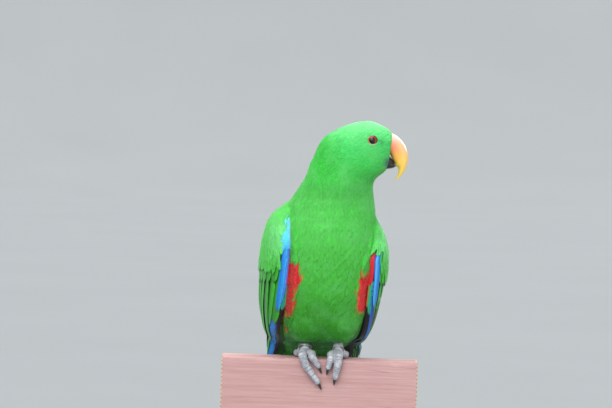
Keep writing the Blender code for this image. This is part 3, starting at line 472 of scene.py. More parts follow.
def add(finish, kind, links=None, out=0, stops=(), **settings):
    """Adds a node to a finish and gives back one of its outputs. Links give each input, by name or
    number, a value, a hex colour or another node's output. Settings are the node's own properties. Stops
    are a ramp's places with a grey or a hex colour."""
    node = finish.node_tree.nodes.new("ShaderNode" + kind)
    for key, value in settings.items():
        setattr(node, key, value)
    for key, value in (links or {}).items():
        wire(finish, node.inputs[key], value)
    for _ in stops[2:]:
        node.color_ramp.elements.new(0.5)
    for number, (place, colour) in enumerate(stops):
        element = node.color_ramp.elements[number]
        element.position = place
        shade = hex_colour(colour) if isinstance(colour, str) else (colour,) * 3
        element.color = (*shade, 1.0)
    return node.outputs[out]


def dress(finish, shader, looks):
    """Gives a shader's inputs their values or links, and gives back its finish."""
    for key, value in looks.items():
        wire(finish, shader.inputs[key], value)
    return finish


def new_finish(name, roughness, metallic=0.0):
    """A new Principled material, its shader, and places on the object to build its patterns on."""
    finish = bpy.data.materials.new(name)
    finish.use_nodes = True
    shader = finish.node_tree.nodes["Principled BSDF"]
    dress(finish, shader, {"Roughness": roughness, "Metallic": metallic})
    return finish, shader, add(finish, "TexCoord", out="Object")


def polar(finish, place, middle):
    """Distance and angle of a place from a middle (x, z), seen from the side."""
    centre = (-(middle[0] + PERCH[0]) * MM, 0.0, -(middle[1] + PERCH[2]) * MM)
    from_centre = add(finish, "VectorMath", {0: place, 1: centre}, operation="ADD")
    in_plane = add(finish, "VectorMath", {0: from_centre, 1: (1.0, 0.0, 1.0)}, operation="MULTIPLY")
    radius = add(finish, "VectorMath", {0: in_plane}, "Value", operation="LENGTH")
    from_x = add(finish, "SeparateXYZ", {0: in_plane}, "X")
    from_z = add(finish, "SeparateXYZ", {0: in_plane}, "Z")
    return radius, add(finish, "Math", {0: from_z, 1: from_x}, operation="ARCTAN2")


def greens(points):
    """The coat's greens by height: deep at the belly, grassy on the breast, emerald on the head and pale at
    the crown, with a warmer nape. The deep belly is partly painted shade, and the pale crown partly a
    painted highlight of the light from above."""
    x, z = points[:, 0], points[:, 2]
    table = np.array([hex_colour(code) for code in GREEN_CODES])
    colour = np.stack([np.interp(z, GREEN_HEIGHTS, table[:, k]) for k in range(3)], axis=1)
    nape = ease(-x, -22.0, 8.0) * ease(z, 140, 160) * (1 - ease(z, 185, 198))
    return blend(colour, "22AE26", nape * 0.8)


def markings(points):
    """The coat's colours by place: its greens, a red patch with an orange fringe on each flank in front of
    the folded wing, and on the face a dusky spot before the eye and a slaty corner of the mouth, both
    painted shade, and an olive chin."""
    x, y, z = points[:, 0], points[:, 1], points[:, 2]
    colour = greens(points)
    wander = 0.9 * np.sin(z * 0.55) + 0.7 * np.sin(z * 1.3 + 2.0)
    right_edge = by_height(RED_RIGHT, z) + wander
    left_edge = by_height(RED_LEFT, z) + wander * 0.7
    right = ease(-x, right_edge - 1.4, right_edge + 1.4) * ease(z, 32.0, 37.0) * (1 - ease(z, 82.0, 88.0))
    strip = np.abs(-x - 30.2 - (z - 18.0) * 0.24)
    right = np.maximum(right, (1 - ease(strip, 0.6, 1.5)) * ease(z, 15.0, 19.0) * (1 - ease(z, 35.0, 39.0)))
    left = ease(x, left_edge - 1.2, left_edge + 1.2) * ease(z, 34.0, 38.0) * (1 - ease(z, 71.0, 76.0))
    red = np.maximum(right, left) * (1 - ease(y, 12.0, 20.0))
    orange = np.clip(4 * red * (1 - red), 0, 1)
    colour = blend(blend(colour, "DE2632", red), "DC6A20", 0.4 * orange)
    # Spots on the face: the first two are painted shade in the hollow before the eye, and the slaty third a
    # painted soft shadow at the corner of the mouth
    spots = (
        (46.5, 186.6, 3.2, 3.6, "1E8A4C", 0.6),
        (51.5, 185.5, 4.5, 3.0, "2C9E50", 0.5),
        (52.0, 168.5, 4.2, 6.5, "47706C", 0.85),
        (50.5, 160.5, 7.0, 4.0, "6FA03A", 0.4),
    )
    for middle_x, middle_z, reach_x, reach_z, code, strength in spots:
        away = np.hypot((x - middle_x) / reach_x, (z - middle_z) / reach_z)
        colour = blend(colour, code, strength * (1 - ease(away, 0.3, 1.0)))
    return colour


def unwrap(places, angles):
    """Places on an unwrap of the skin's own shape: round the body across, and from tail to crown
    upwards."""
    across = np.mod(angles / 360.0 + 0.5, 1.0)
    return np.stack([0.004 + 0.992 * across, 0.004 + 0.992 * places / (len(BODY_FRAMES) - 1)], axis=-1)


def spacing_at(points):
    """Distance between neighbouring coat feathers: widest on the back and rump, small on the head,
    smallest round the bill and eyes."""
    x, y, z = points[:, 0], points[:, 1], points[:, 2]
    size = 1.6 + 0.7 * ease(y, 5, 35) * (1 - ease(z, 120, 150)) + 1.0 * (1 - ease(z, -30, -5))
    size = size + (1.25 - size) * ease(z, 120, 160)
    face = np.linalg.norm((points - (57.0, HEAD_MIDDLE_Y, 172.0)) / (1.0, 1.0, 1.15), axis=1)
    size = size + (0.95 - size) * (1 - ease(face, 13.0, 30.0))
    eyes = np.hypot(x - EYE_PLACE[0], z - EYE_PLACE[1]) + 50 * (z < 150)
    return size + (0.85 - size) * (1 - ease(eyes, 5.0, 10.0))


def scatter(count, seed):
    """Evenly strewn triples between 0 and 1, from the additive steps of the plastic number's kin."""
    root = 1.2207440846057596
    steps = np.array([root**-1, root**-2, root**-3])
    return np.mod(seed + np.arange(1, count + 1)[:, None] * steps, 1.0)


def thigh_points(sign, places, angles):
    """Points on one thigh's lobe: rings of its own radius square to its middle line."""
    line = thigh_line(sign)
    middle = rows_at(line, places)
    ahead = unit(rows_at(line, places + 0.05) - rows_at(line, places - 0.05))
    radius = rows_at(np.array(THIGH_RADII)[:, None], places)
    first = unit(np.cross(ahead, (1.0, 0.0, 0.0)))
    second = np.cross(ahead, first)
    turn = np.radians(angles)[:, None]
    return middle + radius * (np.cos(turn) * first + np.sin(turn) * second)


def hidden_by_wing(points, angles):
    """True where a coat feather would lie wholly under a folded wing."""
    side = np.where(angles < 0, 0, 1)
    turn = np.abs(angles)
    lead = by_height(LEADING_EDGE, points[:, 2]) + np.array(SIDE_LEAD)[side]
    inner = by_height(INNER_EDGE, points[:, 2])
    low, high = lead + 14.0, inner - 10.0
    covered = (points[:, 2] < np.array(SIDE_TOP)[side] - 16) & (points[:, 2] > -20)
    return (turn > low) & (turn < high) & covered


def coat_roots(rng):
    """Roots of the coat's feathers on the body and thighs, with their places on the unwrap. Strewn points
    are kept by chance where the surface they stand for is dense enough, so that the spacing is as asked,
    and then moved a little at random so that no rows show."""
    last = len(BODY_FRAMES) - 1
    draws = scatter(COAT_DRAWS, 0.31)
    places, angles = draws[:, 0] * last, draws[:, 1] * 360 - 180
    points = section_points(BODY_FRAMES, places, angles)
    along = section_points(BODY_FRAMES, np.clip(places + 0.02, 0, last), angles) - points
    around = section_points(BODY_FRAMES, places, angles + 0.5) - points
    area = np.linalg.norm(np.cross(along / 0.02, around / 0.5), axis=1) * last * 360 / len(draws)
    kept = draws[:, 2] < area / spacing_at(points) ** 2
    points, places, angles = points[kept], places[kept], angles[kept]
    points = points + rng.normal(0, 0.42, points.shape) * spacing_at(points)[:, None]
    buried = near_form(points)[0] < -2.5
    under_wing = hidden_by_wing(points, angles)
    at_bill = points[:, 0] > FACE_POINT[0] + (points[:, 2] - FACE_POINT[1]) * FACE_SLOPE - 0.3
    from_eye = np.hypot(points[:, 0] - EYE_PLACE[0], points[:, 2] - EYE_PLACE[1])
    at_eye = (from_eye < 3.2) & (points[:, 2] > 150)
    kept = ~(buried | under_wing | at_bill | at_eye)
    points, maps = points[kept], unwrap(places[kept], angles[kept])
    for sign in (-1, 1):
        draws = scatter(THIGH_DRAWS, 0.11 + 0.2 * sign)
        lobe = thigh_points(sign, 0.3 + 2.7 * draws[:, 0], draws[:, 1] * 360)
        lobe = lobe + rng.normal(0, 0.7, lobe.shape)
        kept = (near_form(lobe)[0] > -1.2) & (draws[:, 2] < 0.75)
        where = np.stack([0.5 + sign * (0.1 + 0.06 * draws[:, 1]), 0.02 + 0.12 * draws[:, 0]], axis=1)
        points, maps = np.concatenate([points, lobe[kept]]), np.concatenate([maps, where[kept]])
    return points, maps


def lie_at(points, away):
    """Direction in which the coat lies: down the body, fanning a little from the breast's middle, and on
    the head back from the bill over the crown and cheeks and down the nape."""
    x, y, z = points[:, 0], points[:, 1], points[:, 2]
    head = ease(z, 150.0, 172.0)
    back = np.stack([-np.ones_like(x), np.zeros_like(x), -0.30 - 0.5 * ease(-x, -30, 5)], axis=1)
    aside = 0.14 * np.sign(x - 3) * ease(np.abs(x - 3), 2, 25)
    down = np.stack([aside, 0.25 * ease(-z, -20, 10), -np.ones_like(x)], axis=1)
    flow = back * head[:, None] + down * (1 - head)[:, None]
    return unit(flow - away * np.einsum("ij,ij->i", flow, away)[:, None])


def tuft_shapes(size, rng):
    """Places along and across, and heights over the surface, of small vanes by their spacing. Each is
    about four spacings long, starts below the skin, rises over its first half, then lies almost level and
    close to its neighbours, and dips a little at its tip, so that the coat looks smooth."""
    count = len(size)
    wide = np.linspace(-1, 1, TUFT_COLUMNS)
    reach = TUFT_ROWS[None, :, None] + np.zeros((count, len(TUFT_ROWS), TUFT_COLUMNS))
    reach[:, -1, :] += rng.uniform(-0.08, 0.04, (count, TUFT_COLUMNS)) - 0.14 * wide**2
    reach[:, -2, [0, -1]] += rng.uniform(-0.05, 0.03, (count, 2))
    spread = wide[None, None, :] * TUFT_WIDTHS[None, :, None]
    each = size[:, None, None]
    proud = rng.uniform(-0.02, 0.04, (count, 1, 1)) * each
    rise = proud - 0.24 * each * (1 - ease(reach, -0.25, 0.45))
    rise = rise + 0.05 * each * (1 - spread**2) - 0.06 * each * ease(reach, 0.72, 1.05)
    length = each * rng.uniform(3.6, 5.0, (count, 1, 1))
    half = each * rng.uniform(0.54, 0.74, (count, 1, 1))
    return reach * length, spread * half, rise, length[:, 0, 0]


def closed_tufts(top, away, size, maps, dye, rng):
    """Points, faces, maps and dyes of small vanes, from grids of their upper sides, each dye darkened
    towards the root as painted shade where the vanes over it lie. A fan of faces from each rim to a point
    just below closes its underside, and its bake patch lies round its root's place on the unwrap."""
    count, rows, columns = top.shape[:3]
    per = rows * columns
    grid = np.arange(per).reshape(rows, columns)
    rim = np.concatenate([grid[0], grid[1:, -1], grid[-1, -2::-1], grid[-2:0:-1, 0]])
    centre = top.reshape(count, per, 3)[:, rim].mean(axis=1) - away * (0.06 * size)[:, None]
    points = np.concatenate([top.reshape(count, per, 3), centre[:, None]], axis=1)
    quads = grid_faces(rows, columns)
    fan = np.stack([np.roll(rim, -1), rim, np.full(len(rim), per)], axis=1)
    shift = (np.arange(count) * (per + 1))[:, None, None]
    faces = [(quads[None] + shift).reshape(-1, 4), (fan[None] + shift).reshape(-1, 3)]
    across, along = np.meshgrid(np.linspace(0, 1, columns), TUFT_ROWS)
    local = np.concatenate([np.stack([across, along], axis=-1).reshape(-1, 2), [[0.5, 0.5]]])
    patch = np.clip(maps[:, None, :] + (local - 0.5)[None] * 0.003, 0.001, 0.999)
    vane = np.broadcast_to(local, (count, per + 1, 2)).reshape(-1, 2)
    dye = dye * (1 + rng.normal(0, 0.07, (count, 1))) * (1 + rng.normal(0, 0.025, (count, 3)))
    # Painted shade: each vane is darker towards its root, where the vanes over it cover it
    shade = 0.9 + 0.1 * ease(local[:, 1], 0.3, 0.85)
    dye = np.clip(dye[:, None, :] * shade[None, :, None], 0, 1)
    maps = {"OFBake": patch.reshape(-1, 2), "vane": vane}
    return points.reshape(-1, 3), faces, maps, {"dye": dye.reshape(-1, 3)}


def tufts(roots, maps, rng, spread=None, lifted=0.0):
    """Coat feathers that follow the form along the lie of the coat from their roots. A spread direction
    turns each one's lie to it, and a lift raises its tip."""
    size = spacing_at(roots) if spread is None else np.full(len(roots), 2.0)
    away = near_form(roots)[1]
    lie = lie_at(roots, away)
    if spread is not None:
        lie = unit(lie + spread - away * np.einsum("ij,ij->i", spread, away)[:, None])
    sway = rng.normal(0, 0.09, len(roots))[:, None]
    side = np.cross(lie, away)
    lie, side = unit(lie + side * sway), unit(side - lie * sway)
    reach, across, rise, length = tuft_shapes(size, rng)
    raw = roots[:, None, None, :] + lie[:, None, None, :] * reach[..., None]
    raw = raw + side[:, None, None, :] * across[..., None]
    rise = rise + lifted * (reach / length[:, None, None]) ** 1.5
    top = lay_on_form(raw, rise)
    dye = markings(roots + lie * (length * 0.7)[:, None] + rng.normal(0, 0.6, (len(roots), 3)))
    return closed_tufts(top, away, size, maps, dye, rng)


def skin_finish():
    """Dyed down under the coat: soft, matt and a little darker than the feathers over it."""
    finish, shader, place = new_finish("down_under_coat", 0.9)
    dye = add(finish, "Attribute", out="Color", attribute_name="dye")
    fluff = add(finish, "TexNoise", {"Vector": place, "Scale": 1400.0, "Detail": 4.0})
    shade = add(finish, "MapRange", {0: fluff, 1: 0.3, 2: 0.7, 3: 0.84, 4: 1.04})
    colour = add(finish, "Mix", {0: 1.0, 6: dye, 7: shade}, 2, data_type="RGBA", blend_type="MULTIPLY")
    bump = add(finish, "Bump", {"Strength": 0.6, "Distance": 0.0004, "Height": fluff})
    return dress(finish, shader, {"Base Color": colour, "Normal": bump})


def coat_finish():
    """Body feathers: matt dyed vanes whose barbs run along them, which gives the eye a silky streak, and
    which let a little light through, so that the joints between them stay soft. Broad pale patches on the
    green ones are partly random mottle and partly painted sheen. Barbs are 0.1 mm apart in life, and are
    drawn about 0.3 mm apart so that they show."""
    finish, shader, place = new_finish("body_contour_feathers", 0.62)
    vane = add(finish, "UVMap", uv_map="vane")
    apart = add(finish, "VectorMath", {0: place, 1: (250.0, 250.0, 250.0)}, operation="MULTIPLY")
    where = add(finish, "VectorMath", {0: vane, 1: (11.0, 1.5, 0.0), 2: apart}, operation="MULTIPLY_ADD")
    barbs = add(finish, "TexNoise", {"Vector": where, "Scale": 1.0, "Detail": 3.0})
    shade = add(finish, "MapRange", {0: barbs, 1: 0.3, 2: 0.7, 3: 0.74, 4: 1.18})
    dye = add(finish, "Attribute", out="Color", attribute_name="dye")
    # Painted sheen, partly random mottle: broad pale green patches, mixed in only where the dye is green
    cloud = add(finish, "TexNoise", {"Vector": place, "Scale": 70.0, "Detail": 3.0})
    sheen_and_mottle = add(finish, "MapRange", {0: cloud, 1: 0.45, 2: 0.75, 3: 0.0, 4: 0.45})
    pale = add(finish, "Mix", {0: sheen_and_mottle, 6: dye, 7: "62C66A"}, 2, data_type="RGBA")
    red = add(finish, "SeparateColor", {0: dye})
    only_green = add(finish, "MapRange", {0: red, 1: 0.2, 2: 0.3, 3: 1.0, 4: 0.0})
    colour = add(finish, "Mix", {0: only_green, 6: dye, 7: pale}, 2, data_type="RGBA")
    colour = add(finish, "Mix", {0: 1.0, 6: colour, 7: shade}, 2, data_type="RGBA", blend_type="MULTIPLY")
    bump = add(finish, "Bump", {"Strength": 0.3, "Distance": 0.0001, "Height": barbs})
    shader.subsurface_method = "BURLEY"
    looks = {
        "Base Color": colour,
        "Normal": bump,
        "Subsurface Weight": 0.5,
        "Subsurface Radius": (0.6, 1.0, 0.6),
        "Subsurface Scale": 0.001,
        "Sheen Weight": 0.22,
        "Sheen Roughness": 0.4,
        "Sheen Tint": (0.45, 1.0, 0.5, 1.0),
        "Specular IOR Level": 0.3,
    }
    return dress(finish, shader, looks)


def make_skin(finish):
    """One closed skin under the coat: the body's own grid of sections, moved onto the form and sunk below
    it by a share of the feathers' spacing."""
    rows, columns = 210, 151
    places, angles = np.linspace(0, len(BODY_FRAMES) - 1, rows), np.linspace(-180, 180, columns)
    flat = section_points(BODY_FRAMES, places[:, None], angles[None, :]).reshape(-1, 3)
    flat = lay_on_form(flat, spacing_at(flat) * -0.1, steps=5)
    points = np.concatenate([flat, [flat[:columns].mean(axis=0), flat[-columns:].mean(axis=0)]])
    start, end = np.arange(columns - 1), len(flat)
    last = start + end - columns
    below = np.stack([start + 1, start, 0 * start + end], axis=1)
    above = np.stack([last, last + 1, 0 * start + end + 1], axis=1)
    where = unwrap(*(v.ravel() for v in np.broadcast_arrays(places[:, None], angles[None, :] * 0.9999)))
    maps = {"OFBake": np.concatenate([where, [[0.5, 0.002], [0.5, 0.998]]])}
    faces = [grid_faces(rows, columns), np.concatenate([below, above])]
    nodes = ("head", "neck", "torso", "thigh_right", "thigh_left")
    make_piece("skin", (points, faces, maps, {"dye": markings(points)}), finish, nodes)


def make_coat(finish):
    """The coat of small feathers, in pieces by region, each under the limit of faces."""
    rng = np.random.default_rng(7)
    roots, maps = coat_roots(rng)
    roots = lay_on_form(roots, 0.0)
    heights = roots[:, 2]
    back = roots[:, 1] > 8
    regions = (
        ("coat_crown", heights >= 182),
        ("coat_head", (heights >= 160) & (heights < 182)),
        ("coat_neck", (heights >= 135) & (heights < 160)),
        ("coat_breast", (heights >= 88) & (heights < 135) & ~back),
        ("coat_belly", (heights >= 45) & (heights < 88) & ~back),
        ("coat_vent", (heights < 45) & ~back),
        ("coat_back", (heights < 135) & back),
    )
    for name, chosen in regions:
        make_piece(name, tufts(roots[chosen], maps[chosen], rng), finish)


def lead_angle(which, heights):
    """Angle of one wing's leading edge from the front, at heights."""
    tuck = LEFT_TUCK * which * ease(heights, 84, 102)
    return by_height(LEADING_EDGE, heights) + SIDE_LEAD[which] + tuck


def body_points(z, angles):
    """Points on the body's form at heights and angles from the front."""
    last = len(BODY_FRAMES) - 1
    places = np.full(len(z), last * 0.45)
    for _ in range(12):
        points = section_points(BODY_FRAMES, places, angles)
        ahead = section_points(BODY_FRAMES, np.clip(places + 0.1, 0, last), angles)
        slope = np.maximum((ahead - points)[:, 2] / 0.1, 2.0)
        places = np.clip(places + (z - points[:, 2]) / slope * 0.8, 0, last)
    return lay_on_form(section_points(BODY_FRAMES, places, angles), np.zeros(len(z)))


def make_side_feathers(finish):
    """Body feathers that lie over the edges of both folded wings, where the breast and the back run into
    them: strewn along each edge on the body's side of it, and turned and raised towards the wing."""
    rng = np.random.default_rng(5)
    for which, name in enumerate(("right", "left")):
        side = (-1, 1)[which]
        for edge, count, lifted in (("front", 900, 2.0), ("back", 700, 1.2)):
            draws = scatter(count, 0.17)
            lowest = 74.0 if edge == "front" and which == 1 else 30.0
            z = lowest + (SIDE_TOP[which] + 1.0 - lowest) * draws[:, 0] + rng.normal(0, 1.5, count)
            spread = draws[:, 1] + rng.normal(0, 0.1, count)
            if edge == "front":
                angle = lead_angle(which, z) - 1.5 - 8.0 * spread
                turn = 0.22
            else:
                angle = by_height(INNER_EDGE, z) + 0.5 + 6.0 * spread
                turn = -0.15
            roots = body_points(z, side * angle)
            outwards = np.stack([side * np.cos(np.radians(angle)), np.sin(np.radians(angle)), 0 * z], axis=1)
            maps = np.stack([0.02 + 0.45 * draws[:, 0], 0.02 + 0.9 * draws[:, 1]], axis=1)
            shape = tufts(roots, maps, rng, outwards * turn, lifted)
            make_piece(f"side_feathers_{name}_{edge}", shape, finish)


def wing_shell(which):
    """One wing's outer surface as a table by height and share of the way from its leading edge: the shell
    of the folded wing lifted off the body by its depth, rounded in front and at the top and thin
    behind."""
    side = (-1, 1)[which]
    heights = np.arange(WING_BOTTOM, SIDE_TOP[which] + 0.01, 2.0)
    shares = np.linspace(0, 1, 71) ** 1.6
    lead = lead_angle(which, heights)
    inner = by_height(INNER_EDGE, heights)
    angles = lead[:, None] + (inner - lead)[:, None] * shares[None, :]
    trial = np.linspace(0, len(WING_FRAMES) - 1, 130)
    columns = np.arange(0, 181, 3.0)
    ladder = section_points(WING_FRAMES, trial[:, None], side * columns[None, :])[:, :, 2]
    table = np.stack([np.interp(heights, ladder[:, k], trial) for k in range(len(columns))], axis=1)
    at = np.clip(angles / 3.0, 0, len(columns) - 1.001)
    low = at.astype(int)
    row = np.arange(len(heights))[:, None]
    places = table[row, low] * (1 - at + low) + table[row, low + 1] * (at - low)
    fall = ease((SIDE_TOP[which] - heights) / SIDE_ROUND[which], -0.35, 1.0)[:, None]
    taper = 1.0 - 0.72 * np.clip((76.0 - heights) / 140.0, 0, 1)[:, None]
    round_front = np.sqrt(1 - (1 - np.minimum(1, shares / 0.15)) ** 2)[None, :]
    thin_behind = 1 - 0.92 * shares**3
    low_swell = LEFT_SWELL * which * ease(heights, 12.0, 0.0) * (1 - ease(heights, -4.0, -26.0))
    low_swell += 1.7 * (1 - which) * ease(heights, 4.0, 16.0) * (1 - ease(heights, 40.0, 66.0))
    depth = 0.8 + (WING_LIFT * fall * taper + low_swell[:, None]) * round_front * thin_behind
    top_gap = 1.6 * (1 - ease(SIDE_TOP[which] - heights, 0.0, 14.0))[:, None]
    return heights, section_points(WING_FRAMES, places, side * angles, depth + 0.5 - top_gap)


def even_columns(points, count=90):
    """The same surface with its columns spread evenly by length along each row, and each row's length."""
    steps = np.linalg.norm(np.diff(points, axis=1), axis=2)
    lengths = np.concatenate([np.zeros((len(points), 1)), np.cumsum(steps, axis=1)], axis=1)
    even = []
    for row, length in zip(points, lengths):
        where = np.linspace(0, length[-1], count)
        even.append(np.stack([np.interp(where, length, row[:, k]) for k in range(3)], axis=1))
    return np.array(even), lengths[:, -1]


class Wing:
    """One folded wing's surface, read by height and by millimetres from the leading edge."""

    def __init__(self, which):
        self.which = which
        self.side = (-1, 1)[which]
        self.heights, shell = wing_shell(which)
        self.shell, self.widths = even_columns(shell)
        up = np.gradient(self.shell, axis=0)
        along = np.gradient(self.shell, axis=1)
        self.normals = unit(np.cross(along, up)) * self.side

    def width(self, z):
        """Length of the surface from its leading to its inner edge, at heights."""
        return np.interp(z, self.heights, self.widths)

    def points(self, z, inward, lift):
        """Points at heights, at distances from the leading edge and lifts off the surface."""
        rows, columns = self.shell.shape[:2]
        i = np.clip((z - self.heights[0]) / (self.heights[1] - self.heights[0]), 0, rows - 1.001)
        share = inward / self.width(z)
        j = np.clip(share * (columns - 1), 0, columns - 1.001)
        low_i, low_j = i.astype(int), j.astype(int)
        part_i, part_j = (i - low_i)[..., None], (j - low_j)[..., None]
        mixes = []
        for table in (self.shell, self.normals):
            first = table[low_i, low_j] * (1 - part_j) + table[low_i, low_j + 1] * part_j
            second = table[low_i + 1, low_j] * (1 - part_j) + table[low_i + 1, low_j + 1] * part_j
            mixes.append(first * (1 - part_i) + second * part_i)
        over = np.maximum(inward - self.width(z), 0) + np.minimum(inward, 0)
        ahead = self.points_ahead(low_i, low_j)
        return mixes[0] + unit(mixes[1]) * lift[..., None] + ahead * over[..., None]

    def points_ahead(self, rows, columns):
        """Unit directions along the surface away from the leading edge."""
        after = np.minimum(columns + 1, self.shell.shape[1] - 1)
        return unit(self.shell[rows, after] - self.shell[rows, after - 1])


def closed_vanes(top, thickness, dye, under):
    """Points, faces, maps and dyes of large vanes, from grids of their upper sides. Each underside is the
    same grid sunk by a thickness, and shares the vane's rim, so that a vane is a thin closed lens. The
    vane map runs across from 0 to 1, and along in centimetres."""
    count, rows, columns = top.shape[:3]
    normals = unit(np.cross(np.gradient(top, axis=2), np.gradient(top, axis=1)))
    low = (top - normals * thickness)[:, 1:-1, 1:-1]
    per = rows * columns
    upper = np.arange(per).reshape(rows, columns)
    lower = upper.copy()
    lower[1:-1, 1:-1] = per + np.arange((rows - 2) * (columns - 2)).reshape(rows - 2, columns - 2)
    quads = grid_faces(rows, columns)
    below = lower.ravel()[quads][:, ::-1]
    total = per + (rows - 2) * (columns - 2)
    shift = (np.arange(count) * total)[:, None, None]
    faces = (np.concatenate([quads, below])[None] + shift).reshape(-1, 4)
    points = np.concatenate([top.reshape(count, per, 3), low.reshape(count, -1, 3)], axis=1)
    inner = np.broadcast_to(under[:, None, None, :], low.shape)
    dye = np.concatenate([dye.reshape(count, per, 3), inner.reshape(count, -1, 3)], axis=1)
    across, along = np.meshgrid((VANE_ACROSS + 1) / 2, np.linspace(0, 1, rows))
    local = np.stack([across, along], axis=-1)
    local = np.concatenate([local.reshape(-1, 2), local[1:-1, 1:-1].reshape(-1, 2)])
    lengths = np.linalg.norm(np.diff(top[:, :, columns // 2], axis=1), axis=2).sum(axis=1) / 10
    vane = local[None] * np.stack([np.ones(count), lengths], axis=1)[:, None, :]
    side = int(math.ceil(math.sqrt(count * 2)))
    number = np.arange(count)
    corner = np.stack([number % side, number // side], axis=1) / side
    cell = corner[:, None, :] + ((0.06, 0.06) + (0.4, 0.8) * local)[None] / side
    cell[:, per:, 0] += 0.5 / side
    maps = {"OFBake": cell.reshape(-1, 2), "vane": vane.reshape(-1, 2)}
    return points.reshape(-1, 3), [faces], maps, {"dye": dye.reshape(-1, 3)}


def vane_width(along, kind):
    """Share of a vane's full half width at shares of its length: full soon after the root and rounded at
    the tip, or for a flight feather, tapering along its last half to a narrower tip."""
    if kind == "flight":
        body = np.minimum(1.0, 0.55 + 1.6 * along) * (1 - 0.42 * ease(along, 0.45, 1.0))
        return body * np.sqrt(np.clip(1 - ease(along, 0.9, 1.04) ** 2, 0.02, 1))
    body = np.minimum(1.0, 0.6 + 1.4 * along)
    return body * np.sqrt(np.clip(1 - ((np.clip(along, 0.7, 1) - 0.7) / 0.31) ** 2, 0.02, 1))


def wing_vanes(wing, plan, rows, kind, rng):
    """Large vanes that follow a folded wing's surface. Each row of the plan gives height and distance
    from the leading edge at the root and tip, half width, lift at the root and tip, tilt across, and
    colours of the outer web, inner web, leading fringe and underside."""
    numbers = np.array([row[:8] for row in plan], float)
    colours = np.array([[hex_colour(code) for code in row[8:12]] for row in plan])
    z0, m0, z1, m1, half, lift0, lift1, tilt = (numbers[:, k, None, None] for k in range(8))
    count = len(plan)
    along = (np.linspace(0, 1, rows) ** 0.85)[None, :, None]
    across = VANE_ACROSS[None, None, :]
    web = np.where(across < 0, OUTER_WEB, 1.0)
    wide = vane_width(along, kind)
    edge = rng.normal(0, 0.012, (count, rows, 2))
    ragged = across + np.where(across < -0.95, edge[:, :, :1], 0)
    ragged = ragged + np.where(across > 0.95, edge[:, :, 1:], 0)
    inward = m0 + (m1 - m0) * along + ragged * web * half * wide
    z = z0 + (z1 - z0) * along + 0 * inward
    z = z - 0.16 * half * (1 - across**2) * ease(along, 0.6, 1.0) + rng.normal(0, 0.1, (count, 1, 1))
    lift = lift0 + (lift1 - lift0) * along - tilt * across * web + 0.10 * half * (1 - across**2) * wide
    top = wing.points(z, inward, lift + 0 * inward)
    shade = 1 + rng.normal(0, 0.03, (count, 1, 1, 1))
    inner = ease(across, 0.0, 0.34)[..., None]
    fringe = (1 - ease(across, -0.98, -0.78))[..., None]
    # Darker towards the shaft: partly the feather's own deeper colour and partly painted shade where the
    # neighbouring feather lies over it
    deepening_and_shade = 1 - 0.2 * ease(across, -0.75, 0.1)[..., None]
    outer_dye, inner_dye, fringe_dye = (colours[:, k][:, None, None, :] for k in range(3))
    dye = (outer_dye * deepening_and_shade * (1 - inner) + inner_dye * inner) * (1 - fringe) + fringe_dye * fringe
    dye = np.broadcast_to(np.clip(dye * shade, 0, 1), top.shape)
    if wing.side > 0:
        top, dye = top[:, :, ::-1], dye[:, :, ::-1]
    return closed_vanes(top, VANE_THICKNESS, dye, colours[:, 3])


def main_plans(wing):
    """The tiers of one folded wing's large feathers: primaries, secondaries, and two rows of coverts. A
    black fringe on one secondary, and on the first three of the left wing, is a painted shadow line that
    parts the panel of broad ones from those behind."""
    left = wing.which == 1
    primaries = []
    for i in range(0 if left else 2, 10):
        tip = (-54, -63, -69, -72, -71, -67, -61, -54, -47, -40)[i]
        colours = ("10161C", BLACK, "16263C", BLACK)
        if left and i > 7:
            colours = (BLACK, BLACK, BRIGHT_GREEN, BLACK)
        if not left and i > 3:
            colours = (VIOLET if i == 4 else "2A84DC", BLACK, "3A9BEA", BLACK)
        sunk = 2.2 if left else 3.6
        lifts = (0.2 * i - sunk, 0.18 * i - sunk + 1.4, 0.3)
        root_m = 3.0 + 1.9 * i if left else 6.4 + 1.4 * i
        primaries.append((60 - i, root_m, tip, 1.8 + 1.7 * i, 5.2, *lifts, *colours))
    secondaries = []
    across = wing.width(30.0)
    tips = (25.0, 22.0, -8.0, -6.0, -3.0, 0.0, -2.0, -4.0, -6.0, -4.0, -1.0, 2.0)
    if left:
        tips = (24.0, 4.0, -6.0, -8.0, -8.0, -8.0, -8.0, -7.0, -6.0, -4.0, -1.0, 2.0)
    gap = 2
    extra = 0.0 if left else 1.3
    for i in range(12):
        share = (i + 0.5) / 12
        root_m, tip_m = 5.0 + (across - 7) * share, 4.8 + (across - 9) * share
        if i == gap and not left:
            tip_m = 19.0
        # A black fringe here is a painted shadow line in the gap between secondaries
        fringe = BLACK if i == gap or (left and i < gap) else ("4ABF36" if i < 7 else "3FB036")
        colours = (GREEN, "268A22" if i < gap else "174F1A", fringe, BLACK)
        lifts = (-1.4 + (extra if i >= gap else 0.0), -0.5 + 0.7 * share)
        secondaries.append((74, root_m, tips[i], tip_m, 6.3, *lifts, 0.6, *colours))
    greater = []
    across = wing.width(75.0)
    for i in range(12):
        share = (i + 0.5) / 12
        middle = 8.5 + (across - 9) * share
        colours = (GREEN, "2A8F26", "4CBF40", BLACK)
        tip = 63 - 9 * share - 6 * share**3
        greater.append((98, middle, tip, middle + 1.0, 5.8, -0.9, 0.3, 0.3, *colours))
    median = []
    across = wing.width(90.0)
    for i in range(15):
        share = (i + 0.5) / 15
        middle = 8.0 + (across - 7.5) * share
        colours = ("44B63E", "349C30", "5AC452", DEEP_GREEN)
        tip = 78 - 6 * share + (i % 2) * 1.2
        median.append((106, middle, tip, middle + 0.6, 4.5, -0.5, 0.6, 0.25, *colours))
    return primaries, secondaries, greater, median


